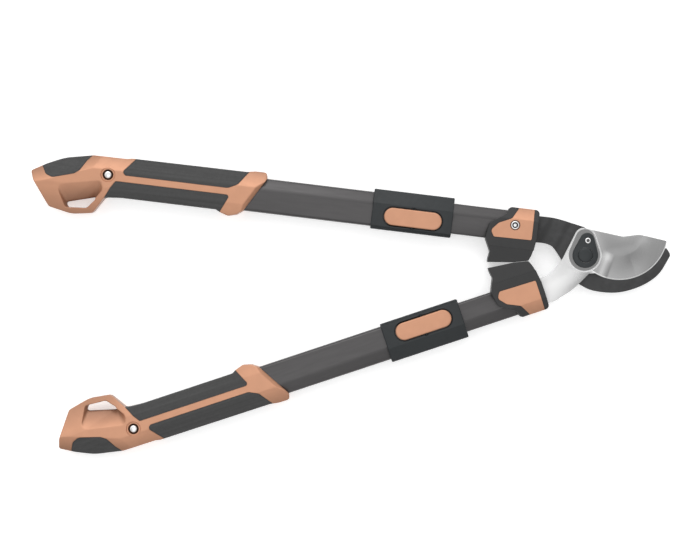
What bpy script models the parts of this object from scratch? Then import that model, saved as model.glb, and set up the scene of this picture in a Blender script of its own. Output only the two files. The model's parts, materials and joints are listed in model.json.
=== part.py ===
"""Telescopic bypass loppers, closed, with both handles pushed in.

Units: the driving sizes are in millimetres, and MM turns them into metres as meshes are made.
Row frame: the pivot's axis is Z, +X runs from the handles to the blades along the line that
halves the angle between the arms, +Z points up from the table that the tool lies on.
Arm frame: u runs along an arm from the pivot towards the handle, v points outwards, away from
the other arm, and w is the arm's thickness direction, measured from the arm's middle plane.
The second arm is the first one turned over, so each arm's own w is the other's reversed.
"""
import math

import bmesh
import bpy
from mathutils import Matrix, Vector

MM = 0.001
GAP = 0.3                           # clearance between neighbouring pieces
REACH = 30.0                        # how far a through-cutter runs past the middle plane

# Driving sizes
HALF_ANGLE = math.radians(12.63)    # between the X axis and each arm, closed
ARM_OFFSET = 22.03                  # from the pivot to each arm's centre line
ARM_MID = 16.0                      # height of the arms' middle plane
CUT_PLANE = 16.0                    # height of the plane between hook and blade
TRAVEL_HOLES = 5                    # latch positions of each telescopic handle
HOLE_PITCH = 70.0                   # distance from one latch position to the next

# Cutting head
HOOK_LOW = 9.0
HOOK_HIGH = CUT_PLANE - GAP / 2
BLADE_LOW = CUT_PLANE + GAP / 2
BLADE_HIGH = 20.65
EDGE_CENTRE = (39.7, 22.1)          # the cutting edge is an arc
EDGE_RADIUS = 52.65
EDGE_THICKNESS = 0.6
GRIND_RADIUS = 27.0                 # where the grind starts, from the same centre
HOOK_INNER_RADIUS = 47.5
BOSS_RADIUS = 20.5                  # the hook's round boss about the pivot
PIVOT_RADIUS = 5.0
TURN_GAP = 0.4                      # clearance round the bolt in the pieces that turn on it
BOLT_HEAD_RADIUS = 8.0
BOLT_HEAD_TOP = 23.3
RECESS_DEPTH = 0.8
PLATE_TOP = 22.9
PLATE_BIG = ((0.0, 0.0), 13.7)      # the lock plate's teardrop: two circles
PLATE_SMALL = ((3.8, 16.2), 7.6)
RECESS_BIG = ((-0.8, 0.2), 17.6)
RECESS_SMALL = ((1.6, 17.4), 11.3)
LOCK_SCREW = (4.2, 15.4)
LOCK_SCREW_HEAD = 3.3
LOCK_SCREW_BORE = 1.9
LOCK_SCREW_SHANK = 1.5
NUT_HIGH = 6.9
NUT_RADIUS = 9.8                    # across its corners
WASHER_RADIUS = 9.5
WASHER_LOW = NUT_HIGH + GAP
WASHER_HIGH = HOOK_LOW - GAP

# Tang, bumper and inner tube
TANG_SIDES = (-12.0, 6.0)           # the tang's sides in v, inside the inner tube
TANG_END = 100.0
TANG_ROOT = 60.0                    # where the shoulders meet the tang's parallel part
BUMPER_BOLT = (79.5, 0.8)
BOLT_RADIUS = 2.5
BOLT_HEAD = 4.2
BOLT_HEAD_SEAT = 11.3
BOLT_HEAD_HIGH = 14.7
BOLT_END = 12.9
BOLT_NUT_SEAT = 11.0
BOLT_NUT = 4.5
NUT_POCKET = 5.0
INSERT_SHELL = 1.5
PAD_SPLIT = -24.0
INNER_START = 66.0
INNER_END = 505.0
INNER_WALL = 1.5
SOCKET_END = 104.0

# Outer tube, lock collar and rocker button
COLLAR_START = 147.0
COLLAR_END = 234.0
COLLAR_LIP = 2.2
BUSH_END = 164.4
OUTER_START = BUSH_END + GAP
OUTER_END = 526.0
OUTER_WALL = 1.6
BUTTON_MID = (189.5, -5.75)
BUTTON_LENGTH = 62.5
BUTTON_WIDTH = 19.0
BUTTON_LOW = 12.6
BUTTON_HIGH = 15.4
BUTTON_SLOT = 1.0                   # dark gap round the button
BOSS_HALF = 4.0
BOSS_SIDE = 7.5
BOSS_LOW = 10.9
PIN_HEIGHT = 13.2
PIN_RADIUS = 1.0
PIN_HALF = 11.4
PEG_ARM = 22.0                      # from the rocker's pin to its latch peg
PEG_RADIUS = 3.0
PEG_LOW = 9.6
PEG_HIGH = 14.3
LATCH_HOLE = 3.9
WINDOW_MID = 199.8                  # the outer tube's window, under the peg and the boss
WINDOW_LENGTH = 46.0
SPRING_ARM = -22.5
SPRING_RADIUS = 2.6
SPRING_WIRE = 0.25
SPRING_LOW = 11.8
SPRING_HIGH = 13.9

# Grip
GRIP_SHELL = 1.8                    # thickness of the rubber panels
GRIP_SCREW = (520.7, 2.0)
GRIP_SCREW_HEAD = 4.8
GRIP_SCREW_RECESS = 7.7
GRIP_SCREW_TOP = 15.9
GRIP_SCREW_SEAT = 13.0
GRIP_RING_SEAT = 14.8
GRIP_SHANK = 2.0

# Cross-sections in v and w, as (v, w, corner radius); each is given by its upper half
INNER_TUBE_HALF = [(16.3, 4.6, 3.0), (6.1, 9.3, 3.0), (-16.3, 9.3, 2.5)]
OUTER_TUBE_HALF = [(18.5, 5.8, 4.0), (7.0, 11.5, 4.0), (-18.5, 11.5, 3.5)]
COLLAR_HALF = [(22.0, 8.2, 3.0), (7.0, 14.8, 2.0), (-17.5, 14.8, 1.0), (-21.0, 11.8, 1.0)]
BUMPER_HALF = [(20.0, 9.0, 2.0), (7.5, 15.0, 3.0), (-24.0, 15.0, 3.0), (-46.0, 12.0, 2.0)]
GRIP_HALF = [(25.5, 7.5, 3.0), (7.5, 16.0, 5.0), (-12.0, 16.0, 5.0), (-26.0, 12.5, 5.0), (-46.0, 7.0, 3.0)]

# Plan outlines in u and v, as (u, v) or (u, v, corner radius)
GRIP_PLAN = [
    (350.2, 18.0), (351.6, 25.0, 3.0), (364.0, 24.8, 6.0), (373.0, 23.2, 6.0), (497.0, 22.6),
    (503.0, 21.4, 8.0), (539.0, 21.2, 20.0), (570.0, 14.8, 25.0), (588.5, 6.4, 12.0),
    (604.3, -3.0, 2.5), (600.4, -12.5, 8.0), (580.6, -39.2, 6.0), (556.0, -44.2, 25.0),
    (532.6, -40.6, 7.0), (521.6, -22.2, 4.0), (505.0, -20.7, 10.0), (402.0, -20.7, 3.0),
    (396.5, -23.6, 4.0), (388.0, -26.2, 5.0), (378.5, -23.6, 5.0), (371.2, -18.0),
]
OUTER_PANEL = [
    (496.0, 40.0), (497.5, 22.0), (506.4, 6.6, 3.0), (502.0, 3.5, 2.0), (391.0, 3.5, 8.0),
    (381.0, 8.5, 8.0), (370.5, 23.5), (365.0, 40.0),
]
INNER_PANEL = [
    (511.5, -4.0, 2.0), (516.5, -11.5, 8.0), (521.8, -23.0), (523.0, -40.0), (397.0, -40.0),
    (397.0, -23.0), (388.0, -4.0, 2.5),
]
END_PAD = [
    (538.0, 24.0), (545.5, 14.5), (551.5, 3.5, 4.0), (557.0, -0.8, 6.0), (580.0, -7.6, 8.0),
    (587.5, -4.6, 5.0), (593.5, 6.0), (590.0, 30.0), (545.0, 40.0),
]
FINGER_HOLE = [(563.0, -32.2, 2.0), (531.3, -23.2, 1.2), (531.6, -26.6, 3.0), (540.5, -36.0, 4.0),
               (559.5, -37.6, 3.0)]
FINGER_SCOOP = [(576.0, -13.8, 5.0), (527.5, -3.9, 5.0), (523.8, -13.0, 5.0), (539.5, -36.3, 4.0),
                (563.3, -37.8, 3.0)]
SCOOP_FLOOR = 4.0
BUMPER_PLAN = [
    (87.0, 20.0, 4.0), (54.5, 20.0, 4.5), (54.5, -10.0), (56.4, PAD_SPLIT), (106.0, PAD_SPLIT),
    (109.8, -15.5, 3.0), (107.5, 0.0, 6.0), (90.0, 12.0, 5.0),
]
INSERT_PLAN = [
    (71.2, 30.0), (60.3, 30.0), (60.2, -13.2, 1.5), (101.0, -14.0, 2.5), (104.6, -7.5, 2.5),
    (97.0, 1.0, 5.0), (83.5, 7.7, 4.0),
]
MATERIALS = {
    "copper_plastic": ((0.73, 0.35, 0.21), 0.42, 0.0),
    "grip_rubber": ((0.055, 0.055, 0.06), 0.78, 0.0),
    "bumper_rubber": ((0.05, 0.05, 0.052), 0.7, 0.0),
    "black_plastic": ((0.045, 0.05, 0.055), 0.5, 0.0),
    "gunmetal_tube": ((0.11, 0.105, 0.108), 0.38, 0.7),
    "coated_steel": ((0.06, 0.06, 0.062), 0.5, 0.3),
    "blade_steel": ((0.62, 0.62, 0.63), 0.28, 1.0),
    "bright_steel": ((0.7, 0.7, 0.7), 0.25, 1.0),
    "spring_steel": ((0.45, 0.45, 0.46), 0.35, 1.0),
    "lock_plate_black": ((0.03, 0.035, 0.037), 0.4, 0.2),
}


# ---------------------------------------------------------------- outlines

def rounded(corners, steps=2):
    """The outline through the corners, where a corner with a third value becomes an arc."""
    points = []
    for index, corner in enumerate(corners):
        here = Vector(corner[:2])
        if len(corner) == 2:
            points.append(here)
            continue
        back = (Vector(corners[index - 1][:2]) - here).normalized()
        ahead = (Vector(corners[(index + 1) % len(corners)][:2]) - here).normalized()
        half = back.angle(ahead) / 2
        centre = here + (back + ahead).normalized() * corner[2] / math.sin(half)
        first = here + back * corner[2] / math.tan(half) - centre
        last = here + ahead * corner[2] / math.tan(half) - centre
        turn = math.atan2(first.cross(last), first.dot(last))
        for step in range(steps + 1):
            points.append(centre + Matrix.Rotation(turn * step / steps, 2) @ first)
    return points


def grown(points, distance):
    """The outline with every side moved outwards, or inwards for a negative distance."""
    count = len(points)
    area = sum(points[i - 1].cross(points[i]) for i in range(count))
    reach = distance if area > 0 else -distance
    moved = []
    for index in range(count):
        before = (points[index] - points[index - 1]).normalized()
        after = (points[(index + 1) % count] - points[index]).normalized()
        first = Vector((before.y, -before.x))
        second = Vector((after.y, -after.x))
        moved.append(points[index] + (first + second) * reach / (1 + first.dot(second)))
    return moved


def arc(centre, radius, start, end, steps):
    """Points on a circle from one angle to another, in degrees."""
    points = []
    for step in range(steps + 1):
        angle = math.radians(start + (end - start) * step / steps)
        points.append(Vector((centre[0] + radius * math.cos(angle), centre[1] + radius * math.sin(angle))))
    return points


def through(points, steps):
    """A smooth curve through the points, without its last one."""
    path = [Vector(point) for point in points]
    result = []
    for index in range(len(path) - 1):
        start = path[index]
        end = path[index + 1]
        leave = (end - path[max(index - 1, 0)]) / 2
        arrive = (path[min(index + 2, len(path) - 1)] - start) / 2
        for step in range(steps):
            t = step / steps
            result.append(start * (2 * t**3 - 3 * t**2 + 1) + leave * (t**3 - 2 * t**2 + t)
                          + end * (3 * t**2 - 2 * t**3) + arrive * (t**3 - t**2))
    return result


def symmetric(half, steps=2):
    """A closed cross-section from its upper half, mirrored in w."""
    lower = [(v, -w, r) for v, w, r in reversed(half)]
    return rounded(half + lower, steps)


def teardrop(big, small, steps=10):
    """The outline round two circles, each given as (centre, radius)."""
    line = Vector(small[0]) - Vector(big[0])
    towards = math.degrees(math.atan2(line.y, line.x))
    touch = math.degrees(math.acos((big[1] - small[1]) / line.length))
    return (arc(big[0], big[1], towards + touch, towards + 360 - touch, steps)
            + arc(small[0], small[1], towards - touch, towards + touch, steps // 2))


def circle(centre, radius, sides):
    return arc(centre, radius, 0, 360 - 360 / sides, sides - 1)


def obround(centre, length, width, steps=6):
    """A slot outline whose long direction is the first axis."""
    reach = (length - width) / 2
    return (arc((centre[0] + reach, centre[1]), width / 2, -90, 90, steps)
            + arc((centre[0] - reach, centre[1]), width / 2, 90, 270, steps))


# ---------------------------------------------------------------- scene and frames

for old in list(bpy.data.objects):
    bpy.data.objects.remove(old, do_unlink=True)

parts = bpy.data.collections.new("bypass_loppers")
cutters = bpy.data.collections.new("cutters")
bpy.context.scene.collection.children.link(parts)
bpy.context.scene.collection.children.link(cutters)


def make_material(name):
    colour, roughness, metallic = MATERIALS[name]
    material = bpy.data.materials.new(name)
    material.use_nodes = True
    shader = material.node_tree.nodes["Principled BSDF"]
    shader.inputs["Base Color"].default_value = (*colour, 1.0)
    shader.inputs["Roughness"].default_value = roughness
    shader.inputs["Metallic"].default_value = metallic
    return material


def make_empty(name, matrix, parent=None):
    """A frame that pieces hang on; its matrix is in the world."""
    empty = bpy.data.objects.new(name, None)
    parts.objects.link(empty)
    empty.parent = parent
    empty.matrix_world = matrix
    if parent is not None:
        empty.matrix_parent_inverse = parent.matrix_world.inverted()
        empty.matrix_basis = matrix
    return empty


def arm_matrix(side):
    """The arm frame's matrix: side is +1 for the upper arm and -1 for the lower one."""
    cos, sin = math.cos(HALF_ANGLE), math.sin(HALF_ANGLE)
    along = Vector((-cos, side * sin, 0))
    outward = Vector((sin, side * cos, 0))
    matrix = Matrix.Identity(4)
    matrix.col[0].xyz = along
    matrix.col[1].xyz = outward
    matrix.col[2].xyz = along.cross(outward)
    matrix.col[3].xyz = outward * ARM_OFFSET * MM + Vector((0, 0, ARM_MID * MM))
    return matrix


def row_point(side, u, v):
    """A point of an arm's frame, as X and Y of the row frame."""
    point = arm_matrix(side) @ Vector((u * MM, v * MM, 0)) / MM
    return point.xy


# ---------------------------------------------------------------- solids

def add_mesh(name, mesh, frame):
    thing = bpy.data.objects.new(name, mesh)
    parts.objects.link(thing)
    thing.parent = frame
    return thing


def prism(name, frame, loops, low, high, along_u=False):
    """A closed solid: outlines drawn out from low to high along w, or a section along u."""
    curve = bpy.data.curves.new(name, "CURVE")
    curve.dimensions = "2D"
    curve.fill_mode = "BOTH"
    curve.extrude = (high - low) / 2 * MM
    for loop in loops:
        spline = curve.splines.new("POLY")
        spline.points.add(len(loop) - 1)
        for place, point in zip(spline.points, loop):
            place.co = (point.x * MM, point.y * MM, 0, 1)
        spline.use_cyclic_u = True
    outline = bpy.data.objects.new(name, curve)
    parts.objects.link(outline)
    evaluated = outline.evaluated_get(bpy.context.evaluated_depsgraph_get())
    mesh = bpy.data.meshes.new_from_object(evaluated)
    bpy.data.objects.remove(outline, do_unlink=True)
    bpy.data.curves.remove(curve)
    shell = bmesh.new()
    shell.from_mesh(mesh)
    bmesh.ops.remove_doubles(shell, verts=shell.verts, dist=1e-6)
    bmesh.ops.recalc_face_normals(shell, faces=shell.faces)
    bmesh.ops.translate(shell, verts=shell.verts, vec=(0, 0, (high + low) / 2 * MM))
    if along_u:
        turned_axes = Matrix(((0, 0, 1, 0), (1, 0, 0, 0), (0, 1, 0, 0), (0, 0, 0, 1)))
        bmesh.ops.transform(shell, verts=shell.verts, matrix=turned_axes)
    shell.to_mesh(mesh)
    shell.free()
    mesh.name = name
    mesh.materials.clear()
    return add_mesh(name, mesh, frame)


def cylinder(name, frame, centre, radius, low, high, sides=16, along_v=False):
    """A round solid at (u, v) from low to high in w, or at (u, w) along v."""
    mesh = bpy.data.meshes.new(name)
    shell = bmesh.new()
    bmesh.ops.create_cone(shell, cap_ends=True, segments=sides, radius1=radius * MM,
                          radius2=radius * MM, depth=(high - low) * MM)
    middle = (high + low) / 2
    if along_v:
        bmesh.ops.rotate(shell, verts=shell.verts, matrix=Matrix.Rotation(math.radians(90), 3, "X"))
        place = Vector((centre[0], middle, centre[1])) * MM
    else:
        place = Vector((centre[0], centre[1], middle)) * MM
    bmesh.ops.translate(shell, verts=shell.verts, vec=place)
    shell.to_mesh(mesh)
    shell.free()
    return add_mesh(name, mesh, frame)


def turned(name, frame, centre, profile, steps=16):
    """A turned solid: a profile of (radius, height) from top to bottom, spun about w."""
    mesh = bpy.data.meshes.new(name)
    closed = profile[0] == profile[-1]
    points = [(radius * MM, 0, height * MM) for radius, height in profile[:-1 if closed else None]]
    edges = [(i, i + 1) for i in range(len(points) - 1)]
    if closed:
        edges.append((len(points) - 1, 0))
    mesh.from_pydata(points, edges, [])
    thing = add_mesh(name, mesh, frame)
    thing.location = (centre[0] * MM, centre[1] * MM, 0)
    screw = thing.modifiers.new("turn", "SCREW")
    screw.steps = steps
    screw.render_steps = steps
    screw.use_merge_vertices = True
    screw.merge_threshold = 0.00001
    return thing


def loft(name, frame, layers):
    """A closed solid through outlines with equally many points, each given with its heights."""
    mesh = bpy.data.meshes.new(name)
    shell = bmesh.new()
    rings = []
    for loop, heights in layers:
        rings.append([shell.verts.new((p.x * MM, p.y * MM, h * MM)) for p, h in zip(loop, heights)])
    for lower, upper in zip(rings, rings[1:]):
        for index in range(len(lower)):
            shell.faces.new((lower[index - 1], lower[index], upper[index], upper[index - 1]))
    shell.faces.new(rings[0])
    shell.faces.new(rings[-1])
    bmesh.ops.triangulate(shell, faces=shell.faces)
    bmesh.ops.recalc_face_normals(shell, faces=shell.faces)
    shell.to_mesh(mesh)
    shell.free()
    return add_mesh(name, mesh, frame)


def cut(target, tool, operation="DIFFERENCE"):
    """Cut a piece with a tool, or keep only what they share, with a live Boolean."""
    boolean = target.modifiers.new(tool.name, "BOOLEAN")
    boolean.operation = operation
    boolean.object = tool
    boolean.solver = "EXACT"
    if tool.name not in cutters.objects:
        parts.objects.unlink(tool)
        cutters.objects.link(tool)
        tool.hide_render = True
        tool.display_type = "WIRE"


def block(name, frame, plan, section):
    """A solid with a plan outline seen from above and a cross-section seen along the arm."""
    body = prism(name, frame, [plan], -40, 40)
    start = min(point.x for point in plan) - 5
    end = max(point.x for point in plan) + 5
    cut(body, prism(name + "_section", frame, [section], start, end, along_u=True), "INTERSECT")
    return body


def finish(piece, name, material, smooth=False):
    """Name a finished piece and give it its material."""
    piece.name = name
    piece.data.name = name
    piece.data.materials.append(materials[material])
    if smooth:
        piece.data.shade_smooth()
        piece.data.set_sharp_from_angle(angle=math.radians(35))
    return piece


def fastener(name, frame, centre, head_radius, head, shank_radius, shank, material, front=1):
    """A screw or bolt: head is (top, underside) and shank ends at a height, mirrored by front."""
    top, under = head
    edge = 0.4
    profile = [(0, top), (head_radius - edge, top), (head_radius, top - edge), (head_radius, under),
               (shank_radius, under), (shank_radius, shank), (0, shank)]
    if front < 0:
        profile = [(radius, -height) for radius, height in reversed(profile)]
    return finish(turned(name, frame, centre, profile), name, material, smooth=True)


materials = {name: make_material(name) for name in MATERIALS}

# Frames: one for each body that moves, on its joint's axis
hook_arm = make_empty("hook_arm", Matrix.Identity(4))
blade_arm = make_empty("blade_arm", Matrix.Identity(4), hook_arm)


# ---------------------------------------------------------------- cutting head

def make_hook():
    """The lower jaw and its tang, under the cutting plane."""
    tang_end = [row_point(1, TANG_END, TANG_SIDES[0]), row_point(1, TANG_ROOT, TANG_SIDES[0])]
    tang_start = [row_point(1, TANG_ROOT, TANG_SIDES[1]), row_point(1, TANG_END, TANG_SIDES[1])]
    lower_edge = through([row_point(1, 58, -15), (-45, 18.0), (-38, 15.5), (-33, 11.5), (-27, 0.5),
                          (-22, -11), (-17, -22), (-10, -30)], 2)
    outer_edge = through([(-10, -30), (5, -38.9), (30, -43.6), (55, -39.8), (75.5, -29.6), (89, -13.4),
                          (91.4, -7.8), (88.3, -1.0)], 4)
    tip = [Vector((88.3, -1.0)), Vector((85.8, -2.6))]
    inner_edge = arc(EDGE_CENTRE, HOOK_INNER_RADIUS, -30, -124, 12)
    boss = arc((0, 0), BOSS_RADIUS, -44, 42, 6)
    upper_edge = through([(6, 27.0), (1.5, 30.6), (-10, 35.6), (-20, 40), (-30, 43.6), (-45, 47),
                          row_point(1, 58, 14)], 2)
    outline = (tang_end + lower_edge + outer_edge + tip + inner_edge + boss + upper_edge
               + [row_point(1, 58, 14)] + tang_start)
    hook = prism("hook_jaw", hook_arm, [outline], HOOK_LOW, HOOK_HIGH)
    cut(hook, cylinder("hook_pivot_hole", hook_arm, (0, 0), PIVOT_RADIUS + TURN_GAP, 0, REACH, 20))
    bolt_at = row_point(1, *BUMPER_BOLT)
    cut(hook, cylinder("hook_tang_hole", hook_arm, bolt_at, BOLT_RADIUS + GAP, 0, REACH))
    return finish(hook, "hook_jaw", "coated_steel")


def make_blade():
    """The ground upper blade and its tang, over the cutting plane."""
    spine = rounded([(-21.4, 4.3), (-4.2, 31.2, 9), (42.5, 15.8, 14), (60, 16.4, 14), (89.6, 6.4, 1.5),
                     (87.5, 0.2)], 4)[:-1]
    edge = arc(EDGE_CENTRE, EDGE_RADIUS, -24.8, -126.2, 16)
    heel = through([(2.0, -20.3), (-10, -30), (-20, -37), (-30, -42), (-38, -46), row_point(-1, 58, 14)], 2)
    root = [row_point(-1, 58, 14), row_point(-1, TANG_ROOT, TANG_SIDES[1]),
            row_point(-1, TANG_END, TANG_SIDES[1]), row_point(-1, TANG_END, TANG_SIDES[0]),
            row_point(-1, TANG_ROOT, TANG_SIDES[0])]
    neck = through([row_point(-1, 58, -15), (-46, -18.4), (-37.9, -14.5), (-30.9, -8.3), (-25.4, -1.9),
                    (-21.4, 4.3)], 3)
    outline = edge + heel + root + neck + spine
    blade = prism("cutting_blade", blade_arm, [outline], BLADE_LOW, BLADE_HIGH)
    slope = (BLADE_HIGH - BLADE_LOW - EDGE_THICKNESS) / (EDGE_RADIUS - GRIND_RADIUS)
    outside = EDGE_RADIUS + 8
    above = BLADE_HIGH + 5
    inside = GRIND_RADIUS - 0.5 / slope
    cone = [(inside, above), (outside, above), (outside, BLADE_LOW + EDGE_THICKNESS - 8 * slope),
            (inside, BLADE_HIGH + 0.5), (inside, above)]
    ring = turned("grind_cone", blade_arm, EDGE_CENTRE, cone, 60)
    shoulder = [Vector(point) for point in ((0, -40), (12, -19), (20, -8), (26, 4), (30, 14), (50, 14),
                                            (110, 30), (110, -50))]
    grind = prism("grind_region", blade_arm, [shoulder], BLADE_LOW - 5, BLADE_HIGH + 3)
    cut(grind, ring, "INTERSECT")
    cut(blade, grind)
    cut(blade, prism("plate_recess", blade_arm, [teardrop(RECESS_BIG, RECESS_SMALL)],
                     BLADE_HIGH - RECESS_DEPTH, BLADE_HIGH + 2))
    cut(blade, cylinder("blade_pivot_hole", blade_arm, (0, 0), PIVOT_RADIUS + GAP, 0, REACH, 20))
    cut(blade, cylinder("lock_screw_hole", blade_arm, LOCK_SCREW, LOCK_SCREW_BORE, 0, REACH, 12))
    bolt_at = row_point(-1, *BUMPER_BOLT)
    cut(blade, cylinder("blade_tang_hole", blade_arm, bolt_at, BOLT_RADIUS + GAP, 0, REACH))
    return finish(blade, "cutting_blade", "blade_steel")


def make_pivot():
    """Pivot bolt, its lock plate and screw above, its washer and nut below."""
    seat = BLADE_HIGH - RECESS_DEPTH + GAP
    fastener("pivot_bolt", blade_arm, (0, 0), BOLT_HEAD_RADIUS, (BOLT_HEAD_TOP, seat), PIVOT_RADIUS, 0,
             "lock_plate_black")
    plate = prism("lock_plate", blade_arm, [teardrop(PLATE_BIG, PLATE_SMALL)], seat, PLATE_TOP)
    sink = PLATE_TOP - 1.2
    cut(plate, cylinder("plate_bolt_hole", blade_arm, (0, 0), BOLT_HEAD_RADIUS + 0.4, 0, REACH, 24))
    cut(plate, cylinder("plate_screw_hole", blade_arm, LOCK_SCREW, LOCK_SCREW_BORE, 0, REACH, 12))
    cut(plate, cylinder("plate_counterbore", blade_arm, LOCK_SCREW, LOCK_SCREW_HEAD + 0.4, sink, REACH))
    finish(plate, "lock_plate", "lock_plate_black")
    fastener("lock_plate_screw", blade_arm, LOCK_SCREW, LOCK_SCREW_HEAD, (PLATE_TOP + 0.9, sink + GAP),
             LOCK_SCREW_SHANK, BLADE_LOW + GAP, "bright_steel")
    bore = PIVOT_RADIUS + TURN_GAP
    washer = [(WASHER_RADIUS, WASHER_HIGH), (WASHER_RADIUS, WASHER_LOW), (bore, WASHER_LOW),
              (bore, WASHER_HIGH), (WASHER_RADIUS, WASHER_HIGH)]
    finish(turned("pivot_washer", hook_arm, (0, 0), washer), "pivot_washer", "spring_steel", smooth=True)
    nut = prism("pivot_nut", blade_arm, [circle((0, 0), NUT_RADIUS, 6), circle((0, 0), bore, 16)],
                0, NUT_HIGH)
    finish(nut, "pivot_nut", "coated_steel")


# ---------------------------------------------------------------- arm pieces

inner_section = symmetric(INNER_TUBE_HALF)
outer_section = symmetric(OUTER_TUBE_HALF)
collar_section = symmetric(COLLAR_HALF, 1)
bumper_section = symmetric(BUMPER_HALF, 1)
grip_section = symmetric(GRIP_HALF, 1)
grip_plan = rounded(GRIP_PLAN, 2)


def make_bumper(name, frame, side):
    """Housing, copper insert and rubber pad where the arms meet when the tool closes."""
    plan = rounded(BUMPER_PLAN)
    insert_plan = rounded(INSERT_PLAN)
    housing = block("housing", frame, plan, bumper_section)
    long_plan = [Vector(corner) for corner in ((40, 50), (40, -60), (125, -60), (125, 50))]
    recess = prism(name + "insert_recess", frame, [grown(insert_plan, GAP)], -REACH, REACH)
    cut(recess, block(name + "insert_floor", frame, long_plan, grown(bumper_section, -INSERT_SHELL - GAP)))
    cut(housing, recess)
    cut(housing, prism(name + "tube_socket", frame, [grown(inner_section, GAP)], INNER_START - GAP, 125,
                       along_u=True))
    tang_low, tang_high = tang_span(side)
    slot = [Vector(corner) for corner in ((INNER_START, 15.3), (50, 15.3), (50, -16.3), (INNER_START, -16.3))]
    cut(housing, prism(name + "tang_slot", frame, [slot], tang_low - GAP, tang_high + GAP))
    cut(housing, cylinder(name + "bolt_bore", frame, BUMPER_BOLT, BOLT_RADIUS + GAP, -REACH, REACH))
    cut(housing, cylinder(name + "head_bore", frame, BUMPER_BOLT, BOLT_HEAD + 1.2, -REACH,
                          GAP - BOLT_HEAD_SEAT))
    nut_pocket = circle(BUMPER_BOLT, NUT_POCKET, 6)
    cut(housing, prism(name + "nut_pocket", frame, [nut_pocket], BOLT_NUT_SEAT - GAP, REACH))
    finish(housing, name + "bumper_housing", "black_plastic")

    insert = block("insert", frame, plan, bumper_section)
    cut(insert, prism(name + "insert_outline", frame, [insert_plan], -REACH, REACH), "INTERSECT")
    cut(insert, block(name + "insert_core", frame, long_plan, grown(bumper_section, -INSERT_SHELL)))
    cut(insert, cylinder(name + "insert_bore", frame, BUMPER_BOLT, BOLT_HEAD + 1.2, -REACH, 0))
    finish(insert, name + "bumper_insert", "copper_plastic")

    touch = [Vector((u, contact_v(u))) for u in (60.8, 75.0)]
    top = PAD_SPLIT - GAP
    corner = rounded([(104.8, -43.8, 1.2), (103.6, -31.0, 3.0), (105.8, top), (80, top)])[:-1]
    pad_plan = [Vector((56.5, top)), Vector((58.2, -29.5))] + touch + corner
    finish(block("pad", frame, pad_plan, bumper_section), name + "bumper_pad", "bumper_rubber")

    fastener(name + "bumper_bolt", frame, BUMPER_BOLT, BOLT_HEAD, (BOLT_HEAD_HIGH, BOLT_HEAD_SEAT),
             BOLT_RADIUS, -BOLT_END, "bright_steel", front=-1)
    ring = [circle(BUMPER_BOLT, BOLT_NUT, 6), circle(BUMPER_BOLT, BOLT_RADIUS + GAP, 16)]
    finish(prism("nut", frame, ring, BOLT_NUT_SEAT, BOLT_END), name + "bumper_nut", "bright_steel")


def contact_v(u):
    """Where the pad's contact face is, half a gap from the plane between the arms."""
    return (GAP / 2 - u * math.sin(HALF_ANGLE)) / math.cos(HALF_ANGLE) - ARM_OFFSET


def tang_span(side):
    """The heights of an arm's tang in its own w: the hook's or the blade's."""
    if side > 0:
        return ARM_MID - HOOK_HIGH, ARM_MID - HOOK_LOW
    return BLADE_LOW - ARM_MID, BLADE_HIGH - ARM_MID


def make_inner_tube(name, frame, side, front):
    """Inner tube with its latch holes, the socket that holds the tang, and its sliding foot."""
    bore = grown(inner_section, -INNER_WALL)
    tube = prism("tube", frame, [inner_section, bore], INNER_START, INNER_END, along_u=True)
    cut(tube, cylinder(name + "tube_bolt_hole", frame, BUMPER_BOLT, BOLT_RADIUS + GAP, -REACH, REACH))
    for place in range(TRAVEL_HOLES):
        centre = (BUTTON_MID[0] + PEG_ARM - 0.3 + place * HOLE_PITCH, BUTTON_MID[1])
        low, high = sorted((0, REACH * front))
        cut(tube, cylinder(f"{name}latch_hole_{place + 1}", frame, centre, LATCH_HOLE, low, high, 12))
    finish(tube, name + "inner_tube", "gunmetal_tube", smooth=True)

    socket = prism("socket", frame, [grown(bore, -GAP)], INNER_START, SOCKET_END, along_u=True)
    tang_low, tang_high = tang_span(side)
    slot = [Vector(corner) for corner in ((TANG_END + GAP, TANG_SIDES[1] + GAP), (50, TANG_SIDES[1] + GAP),
                                          (50, TANG_SIDES[0] - GAP), (TANG_END + GAP, TANG_SIDES[0] - GAP))]
    cut(socket, prism(name + "socket_slot", frame, [slot], tang_low - GAP, tang_high + GAP))
    cut(socket, cylinder(name + "socket_hole", frame, BUMPER_BOLT, BOLT_RADIUS + GAP, -REACH, REACH))
    finish(socket, name + "tang_socket", "black_plastic")

    skirt = [grown(outer_section, -OUTER_WALL - 0.25), grown(bore, -GAP)]
    foot = prism("foot", frame, skirt, INNER_END + GAP, INNER_END + 4, along_u=True)
    finish(foot, name + "tube_foot", "black_plastic")


def make_outer_tube(name, frame, front):
    """Outer tube, with a window for the latch and holes for the grip's screw."""
    tube = prism("tube", frame, [outer_section, grown(outer_section, -OUTER_WALL)], OUTER_START, OUTER_END,
                 along_u=True)
    low, high = sorted((0, REACH * front))
    window = obround((WINDOW_MID, BUTTON_MID[1]), WINDOW_LENGTH, BUTTON_WIDTH + 1.4)
    cut(tube, prism(name + "latch_window", frame, [window], low, high))
    cut(tube, cylinder(name + "grip_screw_hole", frame, GRIP_SCREW, GRIP_SHANK + GAP, -REACH, REACH, 16))
    finish(tube, name + "outer_tube", "gunmetal_tube", smooth=True)


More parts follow.
